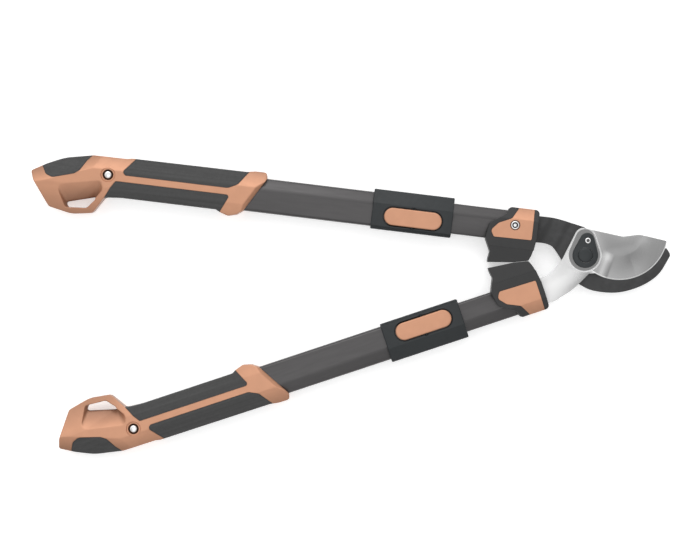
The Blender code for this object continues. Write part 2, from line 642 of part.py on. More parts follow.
def make_collar(name, frame, front):
    """Lock collar at the outer tube's mouth, with the bush that guides the inner tube."""
    collar = prism("collar", frame, [collar_section], COLLAR_START, COLLAR_END, along_u=True)
    cut(collar, prism(name + "collar_bore", frame, [grown(outer_section, GAP)], COLLAR_START + COLLAR_LIP,
                      COLLAR_END + 5, along_u=True))
    cut(collar, prism(name + "collar_mouth", frame, [grown(inner_section, 0.5)], COLLAR_START - 5,
                      COLLAR_START + 10, along_u=True))
    low, high = sorted((0, REACH * front))
    window = obround(BUTTON_MID, BUTTON_LENGTH + 2 * BUTTON_SLOT, BUTTON_WIDTH + 2 * BUTTON_SLOT)
    cut(collar, prism(name + "button_window", frame, [window], low, high))
    pin_at = (BUTTON_MID[0], PIN_HEIGHT * front)
    pin_ends = (BUTTON_MID[1] - PIN_HALF, BUTTON_MID[1] + PIN_HALF)
    cut(collar, cylinder(name + "collar_pin_hole", frame, pin_at, PIN_RADIUS + GAP, pin_ends[0] - GAP,
                         pin_ends[1] + GAP, 12, along_v=True))
    finish(collar, name + "lock_collar", "black_plastic")
    ring = [outer_section, grown(inner_section, 0.35)]
    bush = prism("bush", frame, ring, COLLAR_START + COLLAR_LIP + GAP, BUSH_END, along_u=True)
    finish(bush, name + "collar_bush", "black_plastic")
    pin = cylinder("pin", frame, pin_at, PIN_RADIUS, *pin_ends, 12, along_v=True)
    finish(pin, name + "button_pin", "bright_steel", smooth=True)


def coil_points(front):
    """The button spring's wire: a helix under the thumb end of the rocker."""
    turns, per_turn = 2.5, 8
    count = int(turns * per_turn)
    rise = SPRING_HIGH - SPRING_LOW - 2 * SPRING_WIRE
    for step in range(count + 1):
        angle = 2 * math.pi * step / per_turn
        height = SPRING_LOW + SPRING_WIRE + rise * step / count
        yield (BUTTON_MID[0] + SPRING_ARM + SPRING_RADIUS * math.cos(angle),
               BUTTON_MID[1] + SPRING_RADIUS * math.sin(angle), height * front)


def make_button(name, frame, handle, front):
    """Rocker button on its pin, with the latch peg under one end and the spring under the other."""
    pivot = Vector((BUTTON_MID[0], BUTTON_MID[1], PIN_HEIGHT * front)) * MM
    low, high = sorted((BUTTON_LOW * front, BUTTON_HIGH * front))
    button = prism("button", handle, [obround(BUTTON_MID, BUTTON_LENGTH, BUTTON_WIDTH)], low, high)
    boss_low, boss_high = sorted((BOSS_LOW * front, (BUTTON_LOW + 1) * front))
    corners = [Vector((BUTTON_MID[0] + a * BOSS_HALF, BUTTON_MID[1] + b * BOSS_SIDE))
               for a, b in ((1, 1), (-1, 1), (-1, -1), (1, -1))]
    boss = prism(name + "boss", handle, [corners], boss_low, boss_high)
    cut(button, boss, "UNION")
    pin_at = (BUTTON_MID[0], PIN_HEIGHT * front)
    cut(button, cylinder(name + "button_pin_hole", handle, pin_at, PIN_RADIUS + 0.35, -REACH, REACH, 12,
                         along_v=True))
    peg_at = (BUTTON_MID[0] + PEG_ARM, BUTTON_MID[1])
    peg_low, peg_high = sorted((PEG_LOW * front, PEG_HIGH * front))
    bore_low, bore_high = sorted((0, (PEG_HIGH + GAP) * front))
    cut(button, cylinder(name + "peg_bore", handle, peg_at, PEG_RADIUS + GAP, bore_low, bore_high, 16))
    spring_at = (BUTTON_MID[0] + SPRING_ARM, BUTTON_MID[1])
    well_low, well_high = sorted((0, (SPRING_HIGH + GAP) * front))
    cut(button, cylinder(name + "spring_well", handle, spring_at, SPRING_RADIUS + 1, well_low, well_high, 16))
    finish(button, name + "rocker_button", "copper_plastic")
    peg = cylinder("peg", handle, peg_at, PEG_RADIUS, peg_low, peg_high, 16)
    finish(peg, name + "latch_peg", "bright_steel", smooth=True)
    shift = Matrix.Translation(-pivot)
    for piece in [button, peg] + [modifier.object for modifier in button.modifiers]:
        piece.data.transform(shift)
        piece.parent = frame

    coil = bpy.data.curves.new("coil", "CURVE")
    coil.dimensions = "3D"
    coil.bevel_depth = SPRING_WIRE * MM
    coil.bevel_resolution = 1
    coil.use_fill_caps = True
    path = list(coil_points(front))
    wire = coil.splines.new("POLY")
    wire.points.add(len(path) - 1)
    for place, point in zip(wire.points, path):
        place.co = (point[0] * MM, point[1] * MM, point[2] * MM, 1)
    spring = bpy.data.objects.new(name + "button_spring", coil)
    parts.objects.link(spring)
    spring.parent = handle
    coil.materials.append(materials["spring_steel"])


def grip_surface(v):
    """Half the grip's thickness at a distance v from its centre line."""
    line = [(corner[0], corner[1]) for corner in GRIP_HALF]
    for (outer_v, outer_w), (inner_v, inner_w) in zip(line, line[1:]):
        if inner_v <= v <= outer_v:
            return inner_w + (outer_w - inner_w) * (v - inner_v) / (outer_v - inner_v)
    return line[-1][1]


def make_grip(name, frame, front):
    """Hard grip body with its finger loop, three soft panels, and the screw through the tube."""
    grip = block("grip", frame, grip_plan, grip_section)
    deep = -GRIP_SHELL - GAP
    panel_floor = block(name + "panel_floor", frame, grown(grip_plan, -GRIP_SHELL),
                        grown(grip_section, -GRIP_SHELL))
    recess_floor = block(name + "recess_floor", frame, grown(grip_plan, deep), grown(grip_section, deep))
    for panel_name, corners in (("grip_outer_panel", OUTER_PANEL), ("grip_inner_panel", INNER_PANEL),
                                ("grip_end_pad", END_PAD)):
        outline = rounded(corners)
        recess = prism(name + panel_name + "_recess", frame, [grown(outline, GAP)], -40, 40)
        cut(recess, recess_floor)
        cut(grip, recess)
        panel = block("panel", frame, grip_plan, grip_section)
        cut(panel, prism(name + panel_name + "_outline", frame, [outline], -40, 40), "INTERSECT")
        cut(panel, panel_floor)
        finish(panel, name + panel_name, "grip_rubber")
    cut(grip, prism(name + "grip_tube_bore", frame, [grown(outer_section, GAP)], 340, OUTER_END + GAP,
                    along_u=True))
    hole = rounded(FINGER_HOLE, 2)
    scoop = rounded(FINGER_SCOOP, 2)
    cut(grip, prism(name + "finger_hole", frame, [hole], -40, 40))
    for face in (1, -1):
        rims = [face * (grip_surface(point.y) + 0.6) for point in scoop]
        layers = [(hole, [face * SCOOP_FLOOR] * len(hole)), (scoop, rims),
                  (scoop, [face * REACH] * len(scoop))]
        cut(grip, loft(f"{name}finger_scoop_{'a' if face > 0 else 'b'}", frame, layers))
    cut(grip, cylinder(name + "grip_bore", frame, GRIP_SCREW, GRIP_SHANK + GAP, -REACH, REACH, 16))
    for face in (1, -1):
        low, high = sorted((GRIP_SCREW_SEAT * face, REACH * face))
        side_name = "a" if face > 0 else "b"
        seat = cylinder(f"{name}grip_seat_{side_name}", frame, GRIP_SCREW, GRIP_SCREW_HEAD + GAP, low, high)
        cut(grip, seat)
        low, high = sorted((GRIP_RING_SEAT * face, REACH * face))
        cut(grip, cylinder(f"{name}grip_ring_{side_name}", frame, GRIP_SCREW, GRIP_SCREW_RECESS, low, high))
    finish(grip, name + "grip_body", "copper_plastic")
    fastener(name + "grip_screw", frame, GRIP_SCREW, GRIP_SCREW_HEAD, (GRIP_SCREW_TOP, GRIP_SCREW_SEAT + GAP),
             GRIP_SHANK, -GRIP_SCREW_SEAT, "bright_steel", front)
    low, high = sorted((-GRIP_SCREW_TOP * front, (-GRIP_SCREW_SEAT - GAP) * front))
    ring = [circle(GRIP_SCREW, GRIP_SCREW_HEAD, 16), circle(GRIP_SCREW, GRIP_SHANK + GAP, 16)]
    finish(prism("grip_nut", frame, ring, low, high), name + "grip_nut", "bright_steel", smooth=True)


make_hook()
make_blade()
make_pivot()
for name, side, arm_body in (("upper_", 1, hook_arm), ("lower_", -1, blade_arm)):
    face = -side                # the side of the arm's own w that faces up
    arm = make_empty(name + "arm", arm_matrix(side), arm_body)
    handle = make_empty(name + "handle", arm_matrix(side), arm)
    pin_place = Matrix.Translation(Vector((BUTTON_MID[0], BUTTON_MID[1], PIN_HEIGHT * face)) * MM)
    rocker = make_empty(name + "rocker", arm_matrix(side) @ pin_place, handle)
    make_bumper(name, arm, side)
    make_inner_tube(name, arm, side, face)
    make_outer_tube(name, handle, face)
    make_collar(name, handle, face)
    make_button(name, rocker, handle, face)
    make_grip(name, handle, face)
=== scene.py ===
"""Looks of the telescopic bypass loppers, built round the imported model.

Sizes are in millimetres and MM turns them into metres. An arm's own frame has u along the arm
from the pivot to the grip, v outwards, and w through its thickness from its middle plane.
"""
import json
import math

import bmesh
import bpy
from mathutils import Matrix, Vector


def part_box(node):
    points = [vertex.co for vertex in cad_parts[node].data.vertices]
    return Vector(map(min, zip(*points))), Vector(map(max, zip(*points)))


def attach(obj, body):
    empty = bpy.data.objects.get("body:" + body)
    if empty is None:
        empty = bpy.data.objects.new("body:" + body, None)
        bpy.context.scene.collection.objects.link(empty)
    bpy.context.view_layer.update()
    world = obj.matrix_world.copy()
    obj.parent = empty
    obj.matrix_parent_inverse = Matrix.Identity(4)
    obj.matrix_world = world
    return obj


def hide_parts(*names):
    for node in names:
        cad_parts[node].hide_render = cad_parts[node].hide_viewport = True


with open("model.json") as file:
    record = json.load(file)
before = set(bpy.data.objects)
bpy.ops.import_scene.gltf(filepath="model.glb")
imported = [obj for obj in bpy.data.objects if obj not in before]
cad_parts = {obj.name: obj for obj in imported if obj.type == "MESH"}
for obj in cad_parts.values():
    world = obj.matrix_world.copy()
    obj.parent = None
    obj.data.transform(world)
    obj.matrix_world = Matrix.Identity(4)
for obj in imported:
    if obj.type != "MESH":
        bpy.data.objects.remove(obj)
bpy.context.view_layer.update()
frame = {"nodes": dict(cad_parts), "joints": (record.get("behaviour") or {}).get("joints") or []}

MM = 0.001
GAP = 0.3  # between pieces that fit together
LOOSE = 0.4  # round the pivot's turning pieces
BEYOND = 60  # farther than any solid reaches, for cuts right through
MIDDLE_HEIGHT = 16.0  # the arms' middle plane above the ground
ARMS = (("upper_", 1), ("lower_", -1))
ARM_BODIES = {1: "hook_arm", -1: "blade_arm"}
joints = {joint["name"]: joint for joint in frame["joints"]}

# Stage: how bright the white room is in each direction, and what the camera sees
ROOM_SIDES, ROOM_TOP = 1.72, 1.06
ROOM_NEAR, ROOM_FAR = 0.58, 1.12
ROOM_ENDS, ROOM_HORIZON = 0.6, 0.15
FLOOR_GLOW = 0.45
FLOOR_DROP = 0.3
STAGE_MIDDLE = Vector((-0.25, 0, 0))
LENS, SENSOR = 150.0, 36.0
VIEW_MIDDLE = (-255.2, -1.3)
VIEW_WIDTH = 756.0
VIEW_TURN = -5.725  # degrees

# Cutting head
BLADE_LOW, BLADE_HIGH = (corner.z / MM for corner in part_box("cutting_blade"))
HOOK_LOW, HOOK_HIGH = (corner.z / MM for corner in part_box("hook_jaw"))
EDGE_CENTRE = (39.7, 22.1)  # of the blade's edge and the hook's inner side
EDGE_RADIUS, HOOK_RADIUS = 52.65, 47.5
BOSS_RADIUS = 20.5
GRIND_RADIUS = 27.0
GRIND_FACING = (0.895, -0.447, 0)  # the way the grind falls away from the pivot
GRIND_MIDDLE = (16.5, -11.0)  # where it begins to fall
HOLLOW = 0.75  # how much the grind is hollowed
EDGE_BEVEL = (1.1, 1.05)  # the honed edge's width, painted bright, and where it starts above the back
BEND_FACING = (0.844, -0.537, 0)  # square to the two bends in the hook's tang
BEND_SHADES = ((-50.3, 0.6), (-31.0, 0.5))  # where each band of painted shade along a bend lies and how dark it is
TANG = [(58.0, 14.0), (60.0, 6.0), (100.0, 6.0), (100.0, -12.0), (60.0, -12.0), (58.0, -15.0)]
PIVOT_RADIUS, PIVOT_HEAD = 5.0, 8.0

# The lock plate and the recess it lies in, each round two circles
PLATE_BIG, PLATE_SMALL = ((0.0, 0.0), 13.7), ((3.8, 16.2), 7.6)
RECESS_BIG, RECESS_SMALL = ((-0.8, 0.2), 17.6), ((1.6, 17.4), 11.3)
RECESS_DEPTH = 0.8
RECESS_GREY = 0.19
PLATE_SEAT = BLADE_HIGH - RECESS_DEPTH + GAP
PLATE_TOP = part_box("lock_plate")[1].z / MM
LOCK_SCREW = (4.2, 15.4)
LOCK_SCREW_HOLE, LOCK_SCREW_HEAD = 1.9, 3.3
LOCK_SCREW_SEAT = PLATE_TOP - 1.2

# Arm
BUMPER_BOLT = (79.5, 0.8)
BUMPER_BOLT_HOLE = 2.8
INNER_START, INNER_END = 66.0, 505.0
OUTER_START, OUTER_END = 164.7, 526.0
COLLAR_START, COLLAR_END = 147.0, 234.0
BUTTON_MID = (189.5, -5.75)
BUTTON_LENGTH, BUTTON_WIDTH = 62.5, 19.0
PIN_HEIGHT, PIN_HOLE = 13.2, 1.35
STOPS, STOP_SPACING = 5, 70.0
FIRST_STOP = BUTTON_MID[0] + 21.7
GRIP_SCREW = (520.7, 2.0)
GRIP_SCREW_HOLE = 2.3
BUTT_BEND = ((534.3, 8.6), (600.0, -15.9))  # where the grip's slanted faces start
FRONT_BEND = ((376.4, -18.0), (355.4, 18.0))
BUTT_SLOPE, FRONT_SLOPE = 0.66, 0.8
GRIP_HALF_THICK = 16.1
GROOVE = 0.4  # width of the line round each rubber panel
PAD_SPLIT = -24.0
PAD_SEAM = 0.1  # width of the line between housing and pad
INSERT_RISE = 1.022  # how much the copper insert stands proud

# Plans give u and v, half sections v and w; a third value rounds the corner
INNER_TUBE_HALF = [(16.3, 4.6, 3), (6.1, 9.3, 14), (-16.3, 9.3, 2.5)]
OUTER_TUBE_HALF = [(18.5, 5.8, 4), (7, 11.5, 16), (-18.5, 11.5, 3.5)]
COLLAR_HALF = [(22, 8.2, 3), (7, 14.8, 2), (-17.5, 14.8, 1), (-21, 11.8, 1)]
BUMPER_HALF = [(20, 9, 2), (7.5, 15, 3), (-24, 15, 3), (-46, 12, 2)]
GRIP_HALF = [
    (25.5, 7.5, 3), (7.5, 16, 5), (-12, 16, 5), (-26, 12.5, 5), (-46, 7, 3),
]
GRIP_PLAN = [
    (350.2, 18), (351.6, 25, 3), (364, 24.8, 6), (373, 23.2, 6), (497, 22.6),
    (503, 21.4, 8), (539, 21.2, 20), (570, 15.1, 60), (588.5, 6.4, 12),
    (604.3, -3, 2.5), (600.4, -12.5, 8), (580.6, -39.2, 6), (556, -44.2, 25),
    (532.6, -40.6, 7), (521.6, -22.2, 4), (505, -20.7, 10), (402, -20.7, 3),
    (396.5, -23.6, 4), (388, -26.2, 5), (378.5, -23.6, 5), (371.2, -18),
]
OUTER_PANEL = [
    (490, 40), (493, 22), (505.4, 6.8, 3), (502, 3.5, 2), (391, 3.5, 8),
    (381, 8.5, 8), (370.5, 23.5), (365, 40),
]
INNER_PANEL = [
    (511.5, -4, 2), (516.5, -11.5, 8), (521.8, -23), (523, -40), (397, -40),
    (397, -23), (388, -4, 2.5),
]
END_PAD = [
    (538, 24), (545.5, 14.5), (551.5, 3.5, 4), (557, -0.8, 6), (580, -7.6, 8),
    (587.5, -4.6, 5), (593.5, 6), (590, 30), (545, 40),
]
PANELS = (("grip_outer_panel", OUTER_PANEL), ("grip_inner_panel", INNER_PANEL), ("grip_end_pad", END_PAD))
FINGER_HOLE = [
    (563, -32.2, 2), (531.3, -23.2, 1.2), (531.6, -26.6, 3), (540.5, -36, 4), (559.5, -37.6, 3),
]
FINGER_SCOOP = [
    (576, -13.8, 5), (527.5, -3.9, 5), (523.8, -13, 5), (539.5, -36.3, 4), (563.3, -37.8, 3),
]
BUMPER_PLAN = [
    (87, 20, 4), (54.5, 20, 4.5), (54.5, -10), (57.8, -34), (101.5, -34),
    (109.8, -15.5, 3), (107.5, 0, 6), (90, 12, 5),
]
INSERT_PLAN = [
    (71.2, 30), (60.3, 30), (60.2, -13.2, 1.5), (101, -14, 2.5), (104.8, -7.3, 4),
    (97.5, 1.2, 9), (83.5, 7.7, 6),
]


# ---------------------------------------------------------------- outlines

def rounded(corners, steps=6):
    """The outline through the corners, where a corner with a third value becomes an arc."""
    points = []
    for index, corner in enumerate(corners):
        here = Vector(corner[:2])
        if len(corner) == 2:
            points.append(here)
            continue
        back = (Vector(corners[index - 1][:2]) - here).normalized()
        ahead = (Vector(corners[(index + 1) % len(corners)][:2]) - here).normalized()
        half = back.angle(ahead) / 2
        centre = here + (back + ahead).normalized() * corner[2] / math.sin(half)
        first = here + back * corner[2] / math.tan(half) - centre
        last = here + ahead * corner[2] / math.tan(half) - centre
        turn = math.atan2(first.cross(last), first.dot(last))
        for step in range(steps + 1):
            points.append(centre + Matrix.Rotation(turn * step / steps, 2) @ first)
    return points


def grown(points, distance):
    """The outline with every side moved outwards, or inwards for a negative distance."""
    count = len(points)
    area = sum(points[i - 1].cross(points[i]) for i in range(count))
    reach = distance if area > 0 else -distance
    moved = []
    for index in range(count):
        before = (points[index] - points[index - 1]).normalized()
        after = (points[(index + 1) % count] - points[index]).normalized()
        first = Vector((before.y, -before.x))
        second = Vector((after.y, -after.x))
        moved.append(points[index] + (first + second) * reach / (1 + first.dot(second)))
    return moved


def rectangle(left, right, bottom, top):
    return [Vector(corner) for corner in ((left, bottom), (right, bottom), (right, top), (left, top))]


def arc(centre, radius, start, end, steps):
    middle = Vector(centre)
    points = []
    for step in range(steps + 1):
        angle = math.radians(start + (end - start) * step / steps)
        points.append(middle + radius * Vector((math.cos(angle), math.sin(angle))))
    return points


def through(points, steps=8):
    """A smooth curve through the points, without its last one."""
    path = [Vector(point) for point in points]
    result = []
    for index in range(len(path) - 1):
        start = path[index]
        end = path[index + 1]
        leave = (end - path[max(index - 1, 0)]) / 2
        arrive = (path[min(index + 2, len(path) - 1)] - start) / 2
        for step in range(steps):
            t = step / steps
            result.append(start * (2 * t**3 - 3 * t**2 + 1) + leave * (t**3 - 2 * t**2 + t)
                          + end * (3 * t**2 - 2 * t**3) + arrive * (t**3 - t**2))
    return result


def symmetric(half, steps=6):
    lower = [(v, -w, r) for v, w, r in reversed(half)]
    return rounded(half + lower, steps)


def teardrop(big, small, steps=40):
    """The outline round two circles, each given as (centre, radius)."""
    line = Vector(small[0]) - Vector(big[0])
    towards = math.degrees(math.atan2(line.y, line.x))
    touch = math.degrees(math.acos((big[1] - small[1]) / line.length))
    return (arc(big[0], big[1], towards + touch, towards + 360 - touch, steps)
            + arc(small[0], small[1], towards - touch, towards + touch, steps // 2))


def circle(centre, radius, sides=48):
    return arc(centre, radius, 0, 360 - 360 / sides, sides - 1)


def obround(centre, length, width, steps=20):
    reach = (length - width) / 2
    return (arc((centre[0] + reach, centre[1]), width / 2, -90, 90, steps)
            + arc((centre[0] - reach, centre[1]), width / 2, 90, 270, steps))


# ---------------------------------------------------------------- meshes

def new_object(name, mesh):
    thing = bpy.data.objects.new(name, mesh)
    bpy.context.scene.collection.objects.link(thing)
    return thing


def from_bmesh(name, shell):
    mesh = bpy.data.meshes.new(name)
    shell.to_mesh(mesh)
    shell.free()
    return new_object(name, mesh)


def skin(name, shell, rings):
    """A closed solid over rings of equally many vertices."""
    for lower, upper in zip(rings, rings[1:]):
        for index in range(len(lower)):
            shell.faces.new((lower[index - 1], lower[index], upper[index], upper[index - 1]))
    shell.faces.new(rings[0])
    shell.faces.new(rings[-1])
    bmesh.ops.recalc_face_normals(shell, faces=shell.faces)
    return from_bmesh(name, shell)


def loft(name, layers):
    """A closed solid through outlines with equally many points, each given with its heights."""
    shell = bmesh.new()
    rings = []
    for loop, heights in layers:
        if not hasattr(heights, "__len__"):
            heights = [heights] * len(loop)
        rings.append([shell.verts.new((p.x * MM, p.y * MM, h * MM)) for p, h in zip(loop, heights)])
    return skin(name, shell, rings)


def prism(name, outline, low, high):
    return loft(name, [(outline, low), (outline, high)])


def moved(thing, matrix):
    """Transform a solid's mesh, and keep its faces outwards where the matrix mirrors it."""
    thing.data.transform(matrix)
    if matrix.determinant() < 0:
        thing.data.flip_normals()
    return thing


def along_arm(thing):
    """Turn a solid drawn in v and w so that its height runs along u."""
    return moved(thing, Matrix(((0, 0, 1, 0), (1, 0, 0, 0), (0, 1, 0, 0), (0, 0, 0, 1))))


def across_arm(thing):
    """Turn a solid drawn in u and w so that its height runs along v."""
    return moved(thing, Matrix(((1, 0, 0, 0), (0, 0, 1, 0), (0, 1, 0, 0), (0, 0, 0, 1))))


def turned(name, centre, profile, steps=48):
    """A turned solid from a profile of (radius, height) whose ends lie on the axis."""
    shell = bmesh.new()
    rings = []
    for radius, height in profile:
        if radius == 0:
            rings.append([shell.verts.new((centre[0] * MM, centre[1] * MM, height * MM))] * steps)
        else:
            rings.append([shell.verts.new((p.x * MM, p.y * MM, height * MM))
                          for p in circle(centre, radius, steps)])
    for upper, lower in zip(rings, rings[1:]):
        for index in range(steps):
            corners = (upper[index - 1], upper[index], lower[index], lower[index - 1])
            shell.faces.new(tuple(dict.fromkeys(corners)))  # a triangle beside the axis
    bmesh.ops.recalc_face_normals(shell, faces=shell.faces)
    return from_bmesh(name, shell)


def settle(thing):
    """Apply an object's modifiers to its mesh."""
    evaluated = thing.evaluated_get(bpy.context.evaluated_depsgraph_get())
    mesh = bpy.data.meshes.new_from_object(evaluated)
    thing.modifiers.clear()
    thing.data = mesh
    return thing


def carve(target, tool, operation="DIFFERENCE", keep=False):
    """Cut a solid with another, or join them, or keep what they share."""
    boolean = target.modifiers.new("cut", "BOOLEAN")
    boolean.operation = operation
    boolean.solver = "MANIFOLD"
    boolean.object = tool
    settle(target)
    if not keep:
        bpy.data.objects.remove(tool, do_unlink=True)
    return target


def drill(target, centre, radius, sides=48, low=-BEYOND, high=BEYOND):
    """Cut a round or a many-sided hole, right through unless heights are given."""
    return carve(target, prism("hole", circle(centre, radius, sides), low, high))


def copy_of(thing, name):
    return new_object(name, thing.data.copy())


def smooth_body(thing, voxel, passes):
    """Fuse a solid's pieces and round its edges."""
    remesh = thing.modifiers.new("fuse", "REMESH")
    remesh.mode = "VOXEL"
    remesh.voxel_size = voxel * MM
    smooth = thing.modifiers.new("round", "SMOOTH")
    smooth.factor = 0.5
    smooth.iterations = passes
    return settle(thing)


def soften(thing, width, segments=2, angle=35):
    """Round a hard-edged solid's edges."""
    shell = bmesh.new()
    shell.from_mesh(thing.data)
    flat = math.radians(0.5)
    bmesh.ops.dissolve_limit(shell, angle_limit=flat, verts=shell.verts, edges=shell.edges)
    shell.to_mesh(thing.data)
    shell.free()
    bevel = thing.modifiers.new("edges", "BEVEL")
    bevel.width = width * MM
    bevel.segments = segments
    bevel.limit_method = "ANGLE"
    bevel.angle_limit = math.radians(angle)
    return settle(thing)


def block(name, plan, section):
    """A solid with a plan outline seen from above and a cross-section seen along the arm."""
    body = prism(name, plan, -BEYOND, BEYOND)
    start = min(point.x for point in plan) - 5
    end = max(point.x for point in plan) + 5
    return carve(body, along_arm(prism("section", section, start, end)), "INTERSECT")


def place(thing, name, body, material, slot, *nodes, side=None, angle=40):
    """Name a finished piece, put it in its frame, give it its material, tie it to its body and hide the
    CAD nodes it stands for; slot is not used.
    """
    thing.name = name
    if side is not None:
        moved(thing, arm_matrix(side))
    thing.data.shade_smooth()
    thing.data.set_sharp_from_angle(angle=math.radians(angle))
    thing.data.materials.clear()
    thing.data.materials.append(material)
    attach(thing, body)
    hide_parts(*nodes)
    return thing


def place_on_arm(thing, arm, label, body, material, slot):
    """Place a piece that is drawn in an arm's own frame over the arm's CAD node."""
    place(thing, arm + label + "_finish", body, material, slot, arm + label, side=dict(ARMS)[arm])


def arm_matrix(side):
    """An arm frame's matrix, from its telescope's direction and its rocker pin's place."""
    name = "upper_" if side > 0 else "lower_"
    along = Vector(joints[name + "telescope"]["axis"]).normalized()
    outward = Vector((0, 0, 1)).cross(along) * -side
    pin = Vector(joints[name + "latch"]["pos_m"])
    offset = pin.dot(outward) - BUTTON_MID[1] * MM
    matrix = Matrix.Identity(4)
    matrix.col[0].xyz = along
    matrix.col[1].xyz = outward
    matrix.col[2].xyz = along.cross(outward)
    matrix.col[3].xyz = outward * offset + Vector((0, 0, pin.z - PIN_HEIGHT * MM))
    return matrix


def arm_turn(side):
    along = arm_matrix(side).col[0]
    return math.atan2(along.y, along.x)


def row_point(side, u, v):
    return (arm_matrix(side) @ Vector((u * MM, v * MM, 0)) / MM).xy


def tang_points(side):
    return [row_point(side, u, v) for u, v in TANG]


# ---------------------------------------------------------------- materials

class Surface:
    """A Principled material with object-space textures to build on."""

    def __init__(self, name, colour, roughness, metallic=0.0):
        self.material = bpy.data.materials.new(name)
        self.material.use_nodes = True
        self.nodes = self.material.node_tree.nodes
        self.links = self.material.node_tree.links
        self.shader = self.nodes["Principled BSDF"]
        self.shader.inputs["Base Color"].default_value = (*colour, 1)
        self.shader.inputs["Roughness"].default_value = roughness
        self.shader.inputs["Metallic"].default_value = metallic
        self.colour = colour
        self.roughness = roughness
        self.coords = self.nodes.new("ShaderNodeTexCoord").outputs["Object"]
        self.bump = None

    def stretched(self, size, turn=0.0):
        """Texture coordinates scaled so that one unit of noise is size (mm) along each axis."""
        mapping = self.nodes.new("ShaderNodeMapping")
        mapping.vector_type = "TEXTURE"
        mapping.inputs["Rotation"].default_value = (0, 0, turn)
        mapping.inputs["Scale"].default_value = tuple(length * MM for length in size)
        self.links.new(self.coords, mapping.inputs["Vector"])
        return mapping.outputs["Vector"]

    def noise(self, size, detail=3.0, turn=0.0):
        texture = self.nodes.new("ShaderNodeTexNoise")
        texture.inputs["Scale"].default_value = 1.0
        texture.inputs["Detail"].default_value = detail
        size = size if hasattr(size, "__len__") else (size, size, size)
        self.links.new(self.stretched(size, turn), texture.inputs["Vector"])
        return texture.outputs["Fac"]

    def cells(self, size, feature="F1"):
        texture = self.nodes.new("ShaderNodeTexVoronoi")
        texture.feature = feature
        texture.inputs["Scale"].default_value = 1.0
        self.links.new(self.stretched((size, size, size)), texture.inputs["Vector"])
        return texture.outputs["Distance"]

    def spread(self, value, low, high, start=0.3, stop=0.7):
        ranged = self.nodes.new("ShaderNodeMapRange")
        ranged.inputs["From Min"].default_value = start
        ranged.inputs["From Max"].default_value = stop
        ranged.inputs["To Min"].default_value = low
        ranged.inputs["To Max"].default_value = high
        self.links.new(value, ranged.inputs["Value"])
        return ranged.outputs["Result"]

    def ramp(self, distance, low, high, start, stop):
        """A value that runs from low to high between two distances in mm."""
        return self.spread(distance, low, high, start * MM, stop * MM)

    def axis(self, name):
        split = self.nodes.new("ShaderNodeSeparateXYZ")
        self.links.new(self.coords, split.inputs["Vector"])
        return split.outputs[name]

    def away(self, centre):
        """Distance, seen from above, from a point given in mm."""
        flat = self.nodes.new("ShaderNodeVectorMath")
        flat.operation = "MULTIPLY"
        flat.inputs[1].default_value = (1, 1, 0)
        self.links.new(self.coords, flat.inputs[0])
        distance = self.nodes.new("ShaderNodeVectorMath")
        distance.operation = "DISTANCE"
        distance.inputs[1].default_value = (centre[0] * MM, centre[1] * MM, 0)
        self.links.new(flat.outputs["Vector"], distance.inputs[0])
        return distance.outputs["Value"]

    def feed(self, value, socket):
        """Give a socket a number, or link it to another socket."""
        if isinstance(value, float):
            socket.default_value = value
        else:
            self.links.new(value, socket)

    def math(self, operation, *values):
        node = self.nodes.new("ShaderNodeMath")
        node.operation = operation
        for value, socket in zip(values, node.inputs):
            self.feed(value, socket)
        return node.outputs[0]

    def across(self, direction, offset):
        """Distance from the plane square to a direction, which is offset mm from the pivot's foot."""
        product = self.nodes.new("ShaderNodeVectorMath")
        product.operation = "DOT_PRODUCT"
        product.inputs[1].default_value = direction
        self.links.new(self.coords, product.inputs[0])
        return self.math("ABSOLUTE", self.math("SUBTRACT", product.outputs["Value"], offset * MM))

    def blend(self, factor, first, second):
        """Grey values mixed by a factor; each is a socket or a number."""
        node = self.nodes.new("ShaderNodeMix")
        for value, socket in ((factor, node.inputs[0]), (first, node.inputs[2]), (second, node.inputs[3])):
            self.feed(value, socket)
        return node.outputs[0]

    def tint(self, value, dark, light):
        """Base colour that runs from dark to light times the surface's colour."""
        mix = self.nodes.new("ShaderNodeMix")
        mix.data_type = "RGBA"
        mix.inputs[6].default_value = (*(channel * dark for channel in self.colour), 1)
        mix.inputs[7].default_value = (*(channel * light for channel in self.colour), 1)
        self.links.new(value, mix.inputs[0])
        self.links.new(mix.outputs[2], self.shader.inputs["Base Color"])
        return self

    def vary_roughness(self, value, amount):
        rough = self.spread(value, self.roughness - amount, self.roughness + amount)
        self.links.new(rough, self.shader.inputs["Roughness"])
        return self

    def relief(self, value, depth, strength=1.0):
        """Bump of a depth in mm, on top of any earlier bump."""
        bump = self.nodes.new("ShaderNodeBump")
        bump.inputs["Strength"].default_value = strength
        bump.inputs["Distance"].default_value = depth * MM
        self.links.new(value, bump.inputs["Height"])
        if self.bump is not None:
            self.links.new(self.bump, bump.inputs["Normal"])
        self.bump = bump.outputs["Normal"]
        self.links.new(self.bump, self.shader.inputs["Normal"])
        return self


def copper_plastic():
    """Satin copper paint under a thin clear coat, with painted shade that darkens it towards the arms'
    middle plane, on the sides, rims, slanted faces and scoops.
    """
    surface = Surface("copper_satin", (0.56, 0.28, 0.168), 0.42, 0.5)
    surface.shader.inputs["Coat Weight"].default_value = 0.15
    surface.shader.inputs["Coat Roughness"].default_value = 0.3
    # painted shade: darker the nearer a point lies to the arms' middle plane
    outward = surface.ramp(surface.across((0, 0, 1), MIDDLE_HEIGHT), 0.0, 1.0, 4.0, 14.5)
    mottle = surface.spread(surface.noise(14), 0.9, 1.0)
    surface.tint(surface.math("MULTIPLY", outward, mottle), 0.5, 1.06)
    surface.vary_roughness(surface.noise(5), 0.04)
    surface.relief(surface.noise(0.35, 2), 0.01)
    return surface.material


